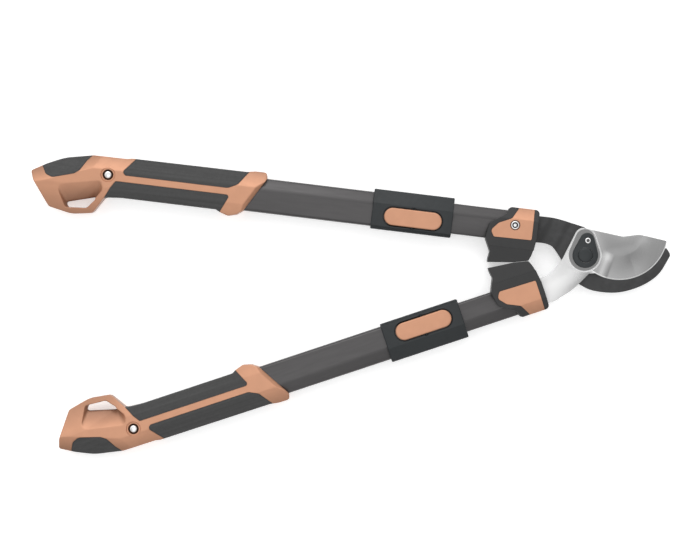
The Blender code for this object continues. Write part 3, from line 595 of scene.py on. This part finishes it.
def soft_rubber(side):
    """Fine-grained rubber with shallow ribs that run along an arm."""
    surface = Surface("grip_rubber", (0.046, 0.046, 0.046), 0.68)
    ribs = surface.noise((160, 2.6, 2.6), 1, arm_turn(side))
    surface.tint(ribs, 0.72, 1.28)
    surface.vary_roughness(surface.noise(3), 0.06)
    surface.relief(ribs, 0.5, 0.6)
    surface.relief(surface.cells(1.1), 0.12, 0.5)
    return surface.material


def bumper_rubber():
    surface = Surface("bumper_rubber", (0.021, 0.021, 0.0215), 0.55)
    surface.tint(surface.noise(8), 0.88, 1.12)
    surface.relief(surface.noise(0.4, 3), 0.03, 0.6)
    return surface.material


def black_plastic():
    surface = Surface("black_plastic", (0.012, 0.0155, 0.0175), 0.52)
    surface.tint(surface.noise(10), 0.9, 1.1)
    surface.vary_roughness(surface.noise(4), 0.04)
    surface.relief(surface.noise(0.3, 2), 0.02, 0.6)
    return surface.material


def gunmetal(side):
    """Satin tube metal whose faint streaks run along an arm."""
    turn = arm_turn(side)
    surface = Surface("gunmetal_tube", (0.086, 0.083, 0.084), 0.36, 0.75)
    surface.tint(surface.noise((30, 3, 3), turn=turn), 0.92, 1.08)
    surface.vary_roughness(surface.noise((20, 1.5, 1.5), turn=turn), 0.05)
    surface.relief(surface.noise(0.25, 2), 0.008, 0.6)
    return surface.material


def coated_steel():
    """Dark coated steel, with painted shade in bands along the two bends in the hook's tang."""
    surface = Surface("coated_steel", (0.036, 0.036, 0.037), 0.48, 0.2)
    level = surface.noise(7)
    for line, dark in BEND_SHADES:
        # a band of painted shade along each bend of the tang
        bend_shade = surface.ramp(surface.across(BEND_FACING, line), dark, 0.0, 0.5, 4.5)
        level = surface.math("SUBTRACT", level, bend_shade)
    surface.tint(level, 0.6, 1.4)
    surface.vary_roughness(surface.noise(2), 0.05)
    surface.relief(surface.noise(0.5, 4), 0.03, 0.6)
    return surface.material


def outside_recess(surface):
    """How far a point is outside the recess, measured from circles set between its two ends."""
    steps = 8
    least = None
    for step in range(steps + 1):
        share = step / steps
        centre = Vector(RECESS_BIG[0]).lerp(Vector(RECESS_SMALL[0]), share)
        radius = RECESS_BIG[1] + (RECESS_SMALL[1] - RECESS_BIG[1]) * share
        outside = surface.math("SUBTRACT", surface.away(centre), radius * MM)
        least = outside if least is None else surface.math("MINIMUM", least, outside)
    return least


def blade_steel():
    """Ground steel with grind streaks, painted highlights that make the tang, honed edge and recess rim
    paler and less metallic and brighten the grind's shoulder, painted shade over the hollow grind, and a
    darker grey in the recess round the pivot.
    """
    surface = Surface("blade_steel", (0.5, 0.5, 0.505), 0.25, 1.0)
    streaks = surface.noise((14, 0.25, 14), 2, math.radians(70))
    ahead = surface.axis("X")
    reach = surface.away(EDGE_CENTRE)
    honed = EDGE_RADIUS - EDGE_BEVEL[0]
    # painted highlight along the honed edge, from a little way past the pivot
    edge = surface.math("MULTIPLY", surface.ramp(reach, 0.0, 1.0, honed - 0.2, honed + 0.1),
                        surface.ramp(ahead, 0.0, 1.0, 2, 8))
    # painted highlight: the tang is paler, fading towards the blade, joined with the edge's painted
    # highlight
    painted_highlights = surface.math("MAXIMUM", surface.ramp(ahead, 1.0, 0.0, -42, 2), edge)

    outside = outside_recess(surface)
    raised = surface.ramp(outside, 0.0, 1.0, -0.7, -0.4)
    # painted highlight along the recess's outer rim
    rim = surface.math("MULTIPLY", raised, surface.ramp(outside, 1.0, 0.0, 0.5, 0.9))
    painted_highlights = surface.math("MAXIMUM", surface.math("MULTIPLY", painted_highlights, raised), rim)

    # painted highlight along the grind's shoulder
    shoulder = surface.ramp(surface.across(GRIND_FACING, 22.8), 1.3, 0.0, 1, 7)
    painted_shoulder_glint = surface.math("MULTIPLY", shoulder, surface.ramp(reach, 0.0, 1.0, 25, 33))
    # painted shade, darkest over the hollow grind near (36, -8) and lighter farther away, plus the
    # shoulder's painted highlight, times the grind streaks
    level = surface.math("ADD", surface.ramp(surface.away((36.0, -8.0)), 0.72, 1.12, 10, 46), painted_shoulder_glint)
    streaks_with_painted_light = surface.math("MULTIPLY", surface.spread(streaks, 0.35, 0.37), level)
    plain = surface.blend(raised, RECESS_GREY, streaks_with_painted_light)
    surface.links.new(surface.blend(painted_highlights, plain, 0.82), surface.shader.inputs["Base Color"])
    surface.links.new(surface.spread(painted_highlights, 1.0, 0.25, 0.0, 1.0), surface.shader.inputs["Metallic"])
    surface.vary_roughness(streaks, 0.02)
    surface.relief(streaks, 0.002, 0.5)
    return surface.material


def bright_steel(centre=None, inner=0.0, outer=0.0):
    """Bright steel, with a ring of painted shade between two radii where a screw's middle is given."""
    surface = Surface("bright_steel", (0.8, 0.8, 0.8), 0.2, 1.0)
    if centre is None:
        surface.tint(surface.noise(3), 0.95, 1.05)
    else:
        reach = surface.away(centre)
        # painted shade in a ring round the screw's middle
        ring = surface.math("MULTIPLY", surface.ramp(reach, 0.0, 1.0, inner, inner + 0.3),
                            surface.ramp(reach, 1.0, 0.0, outer, outer + 0.3))
        surface.tint(ring, 1.0, 0.16)
    surface.vary_roughness(surface.noise(0.8), 0.06)
    surface.relief(surface.noise(0.4, 3), 0.004, 0.5)
    return surface.material


def spring_steel():
    surface = Surface("spring_steel", (0.42, 0.42, 0.43), 0.35, 1.0)
    surface.tint(surface.noise(2), 0.9, 1.1)
    surface.vary_roughness(surface.noise(1), 0.08)
    return surface.material


def lock_black():
    surface = Surface("lock_plate_black", (0.022, 0.026, 0.028), 0.36, 0.3)
    surface.tint(surface.noise(5), 0.85, 1.15)
    surface.vary_roughness(surface.noise(1.5), 0.06)
    surface.relief(surface.noise(0.3, 3), 0.01, 0.6)
    return surface.material


copper = copper_plastic()
bumper_soft = bumper_rubber()
rubbers = {side: soft_rubber(side) for name, side in ARMS}
black = black_plastic()
coated = coated_steel()
tube_metals = {side: gunmetal(side) for name, side in ARMS}
blade_metal = blade_steel()
bright = bright_steel()
spring_metal = spring_steel()
lock_metal = lock_black()


# ---------------------------------------------------------------- cutting head

def make_hook():
    tang = tang_points(1)
    lower_edge = through([tang[-1], (-45, 18.0), (-38, 15.5), (-33, 11.5), (-27, 0.5), (-22, -11),
                          (-17, -22), (-10, -30)], 6)
    outer_edge = through([(-10, -30), (5, -38.9), (30, -43.6), (55, -39.8), (75.5, -29.6),
                          (89, -13.4), (91.4, -7.8), (88.3, -1.0)], 10)
    tip = [Vector((88.3, -1.0)), Vector((85.8, -2.6))]
    inner_edge = arc(EDGE_CENTRE, HOOK_RADIUS, -30, -124, 60)
    boss = arc((0, 0), BOSS_RADIUS, -44, 42, 24)
    upper_edge = through([(6, 27.0), (1.5, 30.6), (-10, 35.6), (-20, 40), (-30, 43.6), (-45, 47),
                          tang[0]], 6)
    outline = tang[3:5] + lower_edge + outer_edge + tip + inner_edge + boss + upper_edge + tang[:3]
    hook = prism("hook", outline, HOOK_LOW, HOOK_HIGH)
    soften(hook, 0.7, 3, 50)
    drill(hook, (0, 0), PIVOT_RADIUS + LOOSE)
    drill(hook, row_point(1, *BUMPER_BOLT), BUMPER_BOLT_HOLE)
    place(hook, "hook_jaw_finish", "hook_arm", coated, "coated_steel", "hook_jaw")


def blade_outline():
    tang = tang_points(-1)
    spine = rounded([(-21.4, 4.3), (-4.2, 31.2, 9), (42.5, 15.8, 14), (60, 16.4, 14),
                     (89.6, 6.4, 1.5), (87.5, 0.2)], 12)[:-1]
    edge = arc(EDGE_CENTRE, EDGE_RADIUS, -24.8, -126.2, 120)
    heel = through([(2.0, -20.3), (-10, -30), (-20, -37), (-30, -42), (-38, -46), tang[0]], 6)
    neck = through([tang[-1], (-46, -18.4), (-37.9, -14.5), (-30.9, -8.3), (-25.4, -1.9),
                    (-21.4, 4.3)], 8)
    return edge + heel + tang[:-1] + neck + spine


def portion(value, start, end):
    """How far a value has come from start to end, between 0 and 1."""
    return min(max((value - start) / (end - start), 0), 1)


def grind_profile():
    """The grind across the blade: each radius with its drop at the heel and its drop at the tip."""
    inner, outer = GRIND_RADIUS - 1.0, EDGE_RADIUS - EDGE_BEVEL[0]
    thick = BLADE_HIGH - BLADE_LOW
    depth = thick - EDGE_BEVEL[1]
    steps = 26
    profile = []
    for step in range(steps + 1):
        share = step / steps
        heel_drop = depth * share**1.2 + HOLLOW * math.sin(math.pi * share)
        profile.append((inner + (outer - inner) * share, heel_drop, depth * share**2.0))
    for beyond, drop in ((0.05, thick - 0.15), (8, thick + 6)):
        profile.append((EDGE_RADIUS + beyond, drop, drop))
    return profile


def grind_cutter():
    """A ring segment whose underside is the blade's hollow grind, rising to nothing at its shoulder."""
    profile = grind_profile()
    facing = Vector(GRIND_FACING[:2])
    clear = BLADE_HIGH + 0.03
    lid = (BLADE_HIGH + 6) * MM
    steps = 200
    shell = bmesh.new()
    rows = []
    for step in range(steps + 1):
        degrees = -160 + 180 * step / steps
        spoke = Vector((math.cos(math.radians(degrees)), math.sin(math.radians(degrees))))
        tipward = portion(degrees, -75, -25)
        row = []
        for radius, heel_drop, tip_drop in profile:
            drop = heel_drop + (tip_drop - heel_drop) * tipward
            point = Vector(EDGE_CENTRE) + radius * spoke
            fall = portion((point - Vector(GRIND_MIDDLE)).dot(facing), -4, 12)
            share = fall * fall * (3 - 2 * fall)
            height = clear - (drop + clear - BLADE_HIGH) * share
            row.append(shell.verts.new((point.x * MM, point.y * MM, height * MM)))
        for corner in (row[-1], row[0]):
            row.append(shell.verts.new((corner.co.x, corner.co.y, lid)))
        rows.append(row)
    return skin("grind", shell, rows)


def make_blade():
    blade = prism("blade", blade_outline(), BLADE_LOW, BLADE_HIGH)
    soften(blade, 0.35, 2, 50)
    carve(blade, grind_cutter())
    floor = grown(teardrop(PLATE_BIG, PLATE_SMALL), 0.8)
    foot, rim = (grown(teardrop(RECESS_BIG, RECESS_SMALL), reach) for reach in (-0.15, 0.3))
    low = BLADE_HIGH - RECESS_DEPTH
    layers = [(floor, low), (foot, low + 0.03), (rim, BLADE_HIGH), (rim, BLADE_HIGH + 2)]
    carve(blade, loft("recess", layers))
    drill(blade, (0, 0), PIVOT_RADIUS + GAP)
    drill(blade, LOCK_SCREW, LOCK_SCREW_HOLE, 24)
    drill(blade, row_point(-1, *BUMPER_BOLT), BUMPER_BOLT_HOLE)
    place(blade, "cutting_blade_finish", "blade_arm", blade_metal, "blade_steel", "cutting_blade",
          angle=30)


def make_lock_plate():
    plate = prism("plate", teardrop(PLATE_BIG, PLATE_SMALL), PLATE_SEAT, PLATE_TOP)
    soften(plate, 0.8, 3, 50)
    drill(plate, (0, 0), PIVOT_HEAD + LOOSE)
    drill(plate, LOCK_SCREW, LOCK_SCREW_HOLE, 24)
    drill(plate, LOCK_SCREW, LOCK_SCREW_HEAD + LOOSE, low=LOCK_SCREW_SEAT)
    place(plate, "lock_plate_finish", "blade_arm", lock_metal, "lock_plate_black", "lock_plate")


def make_pivot_bolt():
    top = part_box("pivot_bolt")[1].z / MM
    head = [(0, top), (3, top - 0.04), (6, top - 0.2), (7.4, top - 0.5), (PIVOT_HEAD, top - 1.0),
            (PIVOT_HEAD, PLATE_SEAT)]
    shank = [(PIVOT_RADIUS, PLATE_SEAT), (PIVOT_RADIUS, 0.5), (PIVOT_RADIUS - 0.5, 0), (0, 0)]
    bolt = turned("bolt", (0, 0), head + shank)
    place(bolt, "pivot_bolt_finish", "blade_arm", lock_metal, "lock_plate_black", "pivot_bolt")


def make_lock_screw():
    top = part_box("lock_plate_screw")[1].z / MM
    under, foot = LOCK_SCREW_SEAT + GAP, BLADE_LOW + GAP
    head = [(0, top), (2.4, top - 0.05), (3.0, top - 0.3), (LOCK_SCREW_HEAD, top - 0.8),
            (LOCK_SCREW_HEAD, under)]
    screw = turned("screw", LOCK_SCREW, head + [(1.5, under), (1.5, foot), (0, foot)])
    small, large = (circle(LOCK_SCREW, radius, 6) for radius in (0.9, 2.0))
    carve(screw, loft("socket", [(small, top - 1.3), (large, top), (large, top + 1)]))
    # painted shade inside the hex socket
    steel = bright_steel(LOCK_SCREW, -1.0, 1.4)
    place(screw, "lock_plate_screw_finish", "blade_arm", steel, "bright_steel", "lock_plate_screw")


def make_pivot_nut():
    nut = prism("nut", circle((0, 0), 9.8, 6), 0, 6.9)
    cap = turned("cap", (0, 0), [(0, 9), (8.2, 7.2), (9.9, 6.2), (9.9, 0.7), (8.2, -0.3), (0, -2)])
    carve(nut, cap, "INTERSECT")
    drill(nut, (0, 0), PIVOT_RADIUS + GAP)
    place(nut, "pivot_nut_finish", "blade_arm", coated, "coated_steel", "pivot_nut")


def make_pivot_washer():
    washer = prism("washer", circle((0, 0), 9.5), 7.2, 8.7)
    soften(washer, 0.3, 2, 50)
    drill(washer, (0, 0), PIVOT_RADIUS + LOOSE)
    place(washer, "pivot_washer_finish", "hook_arm", spring_metal, "spring_steel", "pivot_washer")


# ---------------------------------------------------------------- bumper

def contact_v(side, u):
    """Where a pad's contact face is: half a gap from the plane between the arms."""
    matrix = arm_matrix(side)
    tilt = abs(matrix.col[0].y)
    return (GAP / 2 - u * tilt - side * matrix.translation.y / MM) / (side * matrix.col[1].y)


def strip(low, high):
    """A box right across a bumper between two widths."""
    return prism("strip", rectangle(20, 140, low, high), -BEYOND, BEYOND)


def bumper_insert(housing, core):
    """The copper piece let into the housing, a thin shell over the core."""
    insert = copy_of(housing, "insert")
    carve(insert, prism("outline", rounded(INSERT_PLAN), -BEYOND, BEYOND), "INTERSECT")
    carve(insert, core, keep=True)
    insert.data.transform(Matrix.Diagonal((1, 1, INSERT_RISE, 1)))
    return drill(insert, BUMPER_BOLT, 5.4, high=-5)


def bumper_pad(section):
    """The rubber pad under the housing, up to where it touches the other arm's pad."""
    top = PAD_SPLIT - PAD_SEAM
    front = [Vector((56.0, top + 4)), Vector((58.2, -29.5))]
    touch = [Vector((u, contact_v(1, u))) for u in (60.8, 75.0)]
    back = rounded([(104.3, -43.8, 1.2), (104.0, -37.0, 3.0), (102.9, -30.5, 4.0),
                    (105.4, -25.0, 1.5), (107.4, top + 4), (80, top + 4)])[:-1]
    pad = block("pad", front + touch + back, section)
    smooth_body(pad, 0.45, 3)
    return carve(pad, strip(top, 0))


def bumper_shapes():
    """The housing, insert and pad that both arms share."""
    section = symmetric(BUMPER_HALF)
    housing = block("housing", rounded(BUMPER_PLAN), section)
    smooth_body(housing, 0.55, 5)
    carve(housing, strip(-60, PAD_SPLIT))
    core = block("core", rectangle(40, 125, -60, 50), grown(section, -1.5))
    insert = bumper_insert(housing, core)
    recess = prism("recess", grown(rounded(INSERT_PLAN), GAP), -BEYOND, BEYOND)
    carve(recess, core)
    carve(housing, recess)
    socket = grown(symmetric(INNER_TUBE_HALF), GAP)
    carve(housing, along_arm(prism("socket", socket, INNER_START - GAP, 125)))
    carve(housing, prism("tang_slot", rectangle(50, INNER_START, -16.3, 15.3), -0.2, 7.4))
    drill(housing, BUMPER_BOLT, BUMPER_BOLT_HOLE)
    drill(housing, BUMPER_BOLT, 5.4, high=-11.0)
    drill(housing, BUMPER_BOLT, 5.0, 6, low=10.7)
    return housing, insert, bumper_pad(section)


def cross_recess(centre, top, depth, reach, width):
    """The cross-shaped recess of a screw head, cut down from top."""
    half = width / 2
    shape = []
    for quarter in range(4):
        turn = Matrix.Rotation(math.radians(90 * quarter), 2)
        for corner in ((half, half), (half, reach), (-half, reach)):
            shape.append(turn @ Vector(corner))
    outline = [Vector(centre) + point for point in shape]
    inner = [Vector(centre) + point * 0.6 for point in shape]
    return loft("cross", [(outline, top - 2), (outline, top - 0.05), (inner, top + depth)])


def make_bumper_bolt(name, side):
    profile = [(0, -13.4), (1.9, -13.4), (3.3, -14.9), (4.1, -14.9), (4.7, -14.4), (4.9, -13.6),
               (4.9, -13.0), (4.0, -12.8), (4.0, -11.3), (2.5, -11.3), (2.5, 12.9), (0, 12.9)]
    bolt = turned("bolt", BUMPER_BOLT, profile)
    carve(bolt, cross_recess(BUMPER_BOLT, -13.4, 1.2, 1.7, 0.8))
    # painted shade on the sloping wall of the head's dish
    steel = bright_steel(row_point(side, *BUMPER_BOLT), 1.5, 3.0)
    place_on_arm(bolt, name, "bumper_bolt", ARM_BODIES[side], steel, "bright_steel")


def make_bumpers():
    housing, insert, pad = bumper_shapes()
    pieces = ((housing, "bumper_housing", bumper_soft, "black_plastic"),
              (insert, "bumper_insert", copper, "copper_plastic"),
              (pad, "bumper_pad", bumper_soft, "bumper_rubber"))
    for name, side in ARMS:
        for shape, label, material, slot in pieces:
            place_on_arm(copy_of(shape, label), name, label, ARM_BODIES[side], material, slot)
        make_bumper_bolt(name, side)
    for shape in (housing, insert, pad):
        bpy.data.objects.remove(shape, do_unlink=True)


# ---------------------------------------------------------------- tubes, collar and button

def pipe(half, wall, start, end):
    """A tube that runs along the arm, from half its section and its wall's thickness."""
    outline = symmetric(half)
    tube = along_arm(prism("tube", outline, start, end))
    soften(tube, 0.3, 2, 60)
    return carve(tube, along_arm(prism("bore", grown(outline, -wall), start - 10, end + 10)))


def make_inner_tube(name, side):
    tube = pipe(INNER_TUBE_HALF, 1.5, INNER_START, INNER_END)
    drill(tube, BUMPER_BOLT, BUMPER_BOLT_HOLE)
    low, high = sorted((0, -side * BEYOND))
    for stop in range(STOPS):
        drill(tube, (FIRST_STOP + stop * STOP_SPACING, BUTTON_MID[1]), 3.9, 32, low, high)
    place_on_arm(tube, name, "inner_tube", ARM_BODIES[side], tube_metals[side], "gunmetal_tube")


def make_outer_tube(name, side):
    tube = pipe(OUTER_TUBE_HALF, 1.6, OUTER_START, OUTER_END)
    window = obround((BUTTON_MID[0] + 10.3, BUTTON_MID[1]), 46, 20.4)
    carve(tube, prism("window", window, *sorted((0, -side * BEYOND))))
    drill(tube, GRIP_SCREW, GRIP_SCREW_HOLE, 24)
    place_on_arm(tube, name, "outer_tube", name + "handle", tube_metals[side], "gunmetal_tube")


def make_collar(name, side):
    front = -side
    collar = along_arm(prism("collar", symmetric(COLLAR_HALF), COLLAR_START, COLLAR_END))
    soften(collar, 1.3, 3, 60)
    bore, mouth = grown(symmetric(OUTER_TUBE_HALF), GAP), grown(symmetric(INNER_TUBE_HALF), 0.5)
    carve(collar, along_arm(prism("bore", bore, COLLAR_START + 2.2, 300)))
    carve(collar, along_arm(prism("mouth", mouth, 100, COLLAR_START + 10)))
    window = obround(BUTTON_MID, BUTTON_LENGTH + 2, BUTTON_WIDTH + 2)
    lip = grown(window, 0.5)
    layers = ((window, 0), (window, 14.2), (lip, 14.8), (lip, BEYOND))
    carve(collar, loft("window", [(outline, height * front) for outline, height in layers]))
    low, high = sorted(((PIN_HEIGHT - 1.6) * front, BEYOND * front))
    for edge in (1, -1):
        centre = (BUTTON_MID[0], BUTTON_MID[1] + edge * (BUTTON_WIDTH / 2 + 1.2))
        carve(collar, prism("notch", obround(centre, 4.2, 2.4, 8), low, high))
    place_on_arm(collar, name, "lock_collar", name + "handle", black, "black_plastic")


def make_button(name, side):
    """The rocker button: a rounded cap with a boss for its pin and wells for its peg and spring."""
    front = -side
    outline = obround(BUTTON_MID, BUTTON_LENGTH, BUTTON_WIDTH)
    layers = [(grown(outline, -0.6), 12.6 * front), (outline, 13.0 * front)]
    crown = 6
    for step in range(crown + 1):
        angle = math.pi / 2 * step / crown
        inset = 1.6 * (1 - math.cos(angle))
        layers.append((grown(outline, -inset), (14.0 + 1.2 * math.sin(angle)) * front))
    layers.append((grown(outline, -4.5), 15.4 * front))
    button = loft("button", layers)
    u, v = BUTTON_MID
    boss = rectangle(u - 4.0, u + 4.0, v - 7.5, v + 7.5)
    carve(button, prism("boss", boss, 10.9 * front, 13.6 * front), "UNION")
    pin_hole = circle((u, PIN_HEIGHT * front), PIN_HOLE, 24)
    carve(button, across_arm(prism("pin_hole", pin_hole, -BEYOND, BEYOND)))
    for shift, radius, top in ((22.0, 3.3, 14.4), (-22.5, 3.6, 14.2)):
        low, high = sorted((0, top * front))
        drill(button, (u + shift, v), radius, 32, low, high)
    place_on_arm(button, name, "rocker_button", name + "button", copper, "copper_plastic")


# ---------------------------------------------------------------- grip

def grip_surface(v):
    """Half the grip's thickness at a distance v from its centre line."""
    line = [corner[:2] for corner in GRIP_HALF]
    for (outer_v, outer_w), (inner_v, inner_w) in zip(line, line[1:]):
        if inner_v <= v <= outer_v:
            return inner_w + (outer_w - inner_w) * (v - inner_v) / (outer_v - inner_v)
    return line[-1][1]


def slanted_cut(face, line, slope, sink=0.0):
    """What a slanted face takes off the grip to the left of a line, which has a start and an end."""
    start, end = (Vector(point) for point in line)
    along = (end - start).normalized()
    outward = Vector((-along.y, along.x))
    top = GRIP_HALF_THICK - sink
    shape = [Vector(point) for point in ((0, top), (30, top - 30 * slope), (30, 40), (0, 40))]
    matrix = Matrix(((outward.x, 0, along.x, start.x * MM), (outward.y, 0, along.y, start.y * MM),
                     (0, face, 0, 0), (0, 0, 0, 1)))
    return moved(prism("wedge", shape, -40, 110), matrix)


def grip_shell():
    """The grip's whole outside, with its finger hole and slanted faces."""
    shell = block("grip", rounded(GRIP_PLAN), symmetric(GRIP_HALF))
    hole, scoop = rounded(FINGER_HOLE), rounded(FINGER_SCOOP)
    carve(shell, prism("hole", hole, -BEYOND, BEYOND))
    for face in (1, -1):
        carve(shell, slanted_cut(face, BUTT_BEND, BUTT_SLOPE))
        carve(shell, slanted_cut(face, FRONT_BEND, FRONT_SLOPE))
        rims = [face * (grip_surface(point.y) + 0.6) for point in scoop]
        carve(shell, loft("scoop", [(hole, 4.0 * face), (scoop, rims), (scoop, 30 * face)]))
    return smooth_body(shell, 0.62, 5)


def grip_shapes():
    """The grip's hard body and its three soft panels, which both arms share."""
    body = grip_shell()
    floor = block("floor", grown(rounded(GRIP_PLAN, 3), -1.8), grown(symmetric(GRIP_HALF, 3), -1.8))
    for face in (1, -1):
        carve(floor, slanted_cut(face, BUTT_BEND, BUTT_SLOPE, 2.0))
    panels = []
    for label, corners in PANELS:
        panel = copy_of(body, label)
        carve(panel, prism("outline", rounded(corners), -BEYOND, BEYOND), "INTERSECT")
        carve(panel, floor, keep=True)
        panels.append((label, panel))
    for label, corners in PANELS:
        recess = prism("recess", grown(rounded(corners), GROOVE), -BEYOND, BEYOND)
        carve(recess, floor, keep=True)
        carve(body, recess)
    bpy.data.objects.remove(floor, do_unlink=True)
    bore = grown(symmetric(OUTER_TUBE_HALF), GAP)
    carve(body, along_arm(prism("bore", bore, 300, OUTER_END + GAP)))
    drill(body, GRIP_SCREW, GRIP_SCREW_HOLE, 24)
    ring, lip = circle(GRIP_SCREW, 7.2), circle(GRIP_SCREW, 7.9)
    for face in (1, -1):
        low, high = sorted((13.0 * face, BEYOND * face))
        drill(body, GRIP_SCREW, 6.0, low=low, high=high)
        carve(body, loft("ring", [(ring, 14.8 * face), (lip, 16.0 * face), (lip, BEYOND * face)]))
    return body, panels


def make_grip_screw(name, side):
    front = -side
    profile = ((0, 15.9), (2.2, 15.8), (3.3, 15.5), (3.6, 15.2), (5.6, 13.3), (2.0, 13.3),
               (2.0, -12.9), (0, -12.9))
    screw = turned("screw", GRIP_SCREW, [(radius, height * front) for radius, height in profile])
    # painted shade on the screw's sloping skirt round its dome
    steel = bright_steel(row_point(side, *GRIP_SCREW), 3.5, 7.0)
    place_on_arm(screw, name, "grip_screw", name + "handle", steel, "bright_steel")
    nut = prism("nut", circle(GRIP_SCREW, 4.8), *sorted((-15.9 * front, -13.3 * front)))
    soften(nut, 0.5, 3, 50)
    drill(nut, GRIP_SCREW, GRIP_SCREW_HOLE, 24)
    place_on_arm(nut, name, "grip_nut", name + "handle", bright, "bright_steel")


def make_grips():
    body, panels = grip_shapes()
    for name, side in ARMS:
        handle = name + "handle"
        place_on_arm(copy_of(body, name), name, "grip_body", handle, copper, "copper_plastic")
        for label, panel in panels:
            place_on_arm(copy_of(panel, name), name, label, handle, rubbers[side], "grip_rubber")
        make_grip_screw(name, side)
    for shape in [body] + [panel for label, panel in panels]:
        bpy.data.objects.remove(shape, do_unlink=True)


def finish_hidden_nodes():
    """Materials of the CAD pieces that stay as they are."""
    kept = {"bumper_nut": bright, "tang_socket": black, "tube_foot": black, "collar_bush": black,
            "button_pin": black, "button_spring": spring_metal, "latch_peg": bright}
    for name, side in ARMS:
        for label, material in kept.items():
            node = frame["nodes"][name + label]
            for holder in node.material_slots:
                holder.material = material


# ---------------------------------------------------------------- stage

def make_stage():
    below = STAGE_MIDDLE - Vector((0, 0, FLOOR_DROP * MM))
    bpy.ops.mesh.primitive_plane_add(size=8, location=below)
    floor = bpy.context.object
    floor.name = "floor"
    pale = Surface("floor_pale", (0.92, 0.92, 0.92), 0.8)
    pale.tint(pale.noise(300), 0.99, 1.0)
    pale.shader.inputs["Emission Color"].default_value = (1, 1, 1, 1)
    pale.shader.inputs["Emission Strength"].default_value = FLOOR_GLOW
    floor.data.materials.append(pale.material)


def area_light(name, location, size, power):
    data = bpy.data.lights.new(name, "AREA")
    data.shape = "SQUARE"
    data.size = size
    data.energy = power
    light = bpy.data.objects.new(name, data)
    bpy.context.scene.collection.objects.link(light)
    light.location = location
    light.rotation_euler = (STAGE_MIDDLE - Vector(location)).to_track_quat("-Z", "Y").to_euler()


def make_world():
    """A white room, dimmer above, on its near side, at both ends and low down, so metal shows tone."""
    world = bpy.data.worlds.new("studio")
    world.use_nodes = True
    nodes, links = world.node_tree.nodes, world.node_tree.links
    coords = nodes.new("ShaderNodeTexCoord").outputs["Generated"]
    split = nodes.new("ShaderNodeSeparateXYZ")
    links.new(coords, split.inputs["Vector"])
    levels = []
    for axis, start, stop, low, high in (("Z", 0.62, 0.95, ROOM_SIDES, ROOM_TOP),
                                         ("Y", -0.65, 0.65, ROOM_NEAR, ROOM_FAR),
                                         ("X", 0.15, 0.75, 1.0, ROOM_ENDS),
                                         ("X", -0.15, -0.75, 1.0, ROOM_ENDS),
                                         ("Z", 0.08, 0.5, ROOM_HORIZON, 1.0)):
        ranged = nodes.new("ShaderNodeMapRange")
        ranged.interpolation_type = "SMOOTHSTEP"
        ranged.inputs["From Min"].default_value = start
        ranged.inputs["From Max"].default_value = stop
        ranged.inputs["To Min"].default_value = low
        ranged.inputs["To Max"].default_value = high
        links.new(split.outputs[axis], ranged.inputs["Value"])
        levels.append(ranged.outputs["Result"])
    total = levels[0]
    for level in levels[1:]:
        product = nodes.new("ShaderNodeMath")
        product.operation = "MULTIPLY"
        links.new(total, product.inputs[0])
        links.new(level, product.inputs[1])
        total = product.outputs[0]
    background = nodes["Background"]
    background.inputs["Color"].default_value = (1, 1, 1, 1)
    links.new(total, background.inputs["Strength"])
    bpy.context.scene.world = world


def make_lights():
    area_light("key", (-0.3, 2.4, 2.4), 2.0, 10)
    area_light("fill", (-0.3, -0.6, 3.0), 1.6, 6)


def make_camera():
    """Straight above the tool, turned a little, with a long lens."""
    data = bpy.data.cameras.new("camera")
    data.lens = LENS
    data.sensor_width = SENSOR
    data.clip_end = 20
    camera = bpy.data.objects.new("camera", data)
    bpy.context.scene.collection.objects.link(camera)
    height = MIDDLE_HEIGHT + VIEW_WIDTH * LENS / SENSOR
    camera.location = Vector((*VIEW_MIDDLE, height)) * MM
    camera.rotation_euler = (0, 0, math.radians(VIEW_TURN))
    bpy.context.scene.camera = camera
    bpy.context.scene.view_settings.view_transform = "Standard"


make_hook()
make_blade()
make_lock_plate()
make_pivot_bolt()
make_lock_screw()
make_pivot_nut()
make_pivot_washer()
make_bumpers()
for arm_name, arm_side in ARMS:
    make_inner_tube(arm_name, arm_side)
    make_outer_tube(arm_name, arm_side)
    make_collar(arm_name, arm_side)
    make_button(arm_name, arm_side)
make_grips()
finish_hidden_nodes()
make_stage()
make_world()
make_lights()
make_camera()
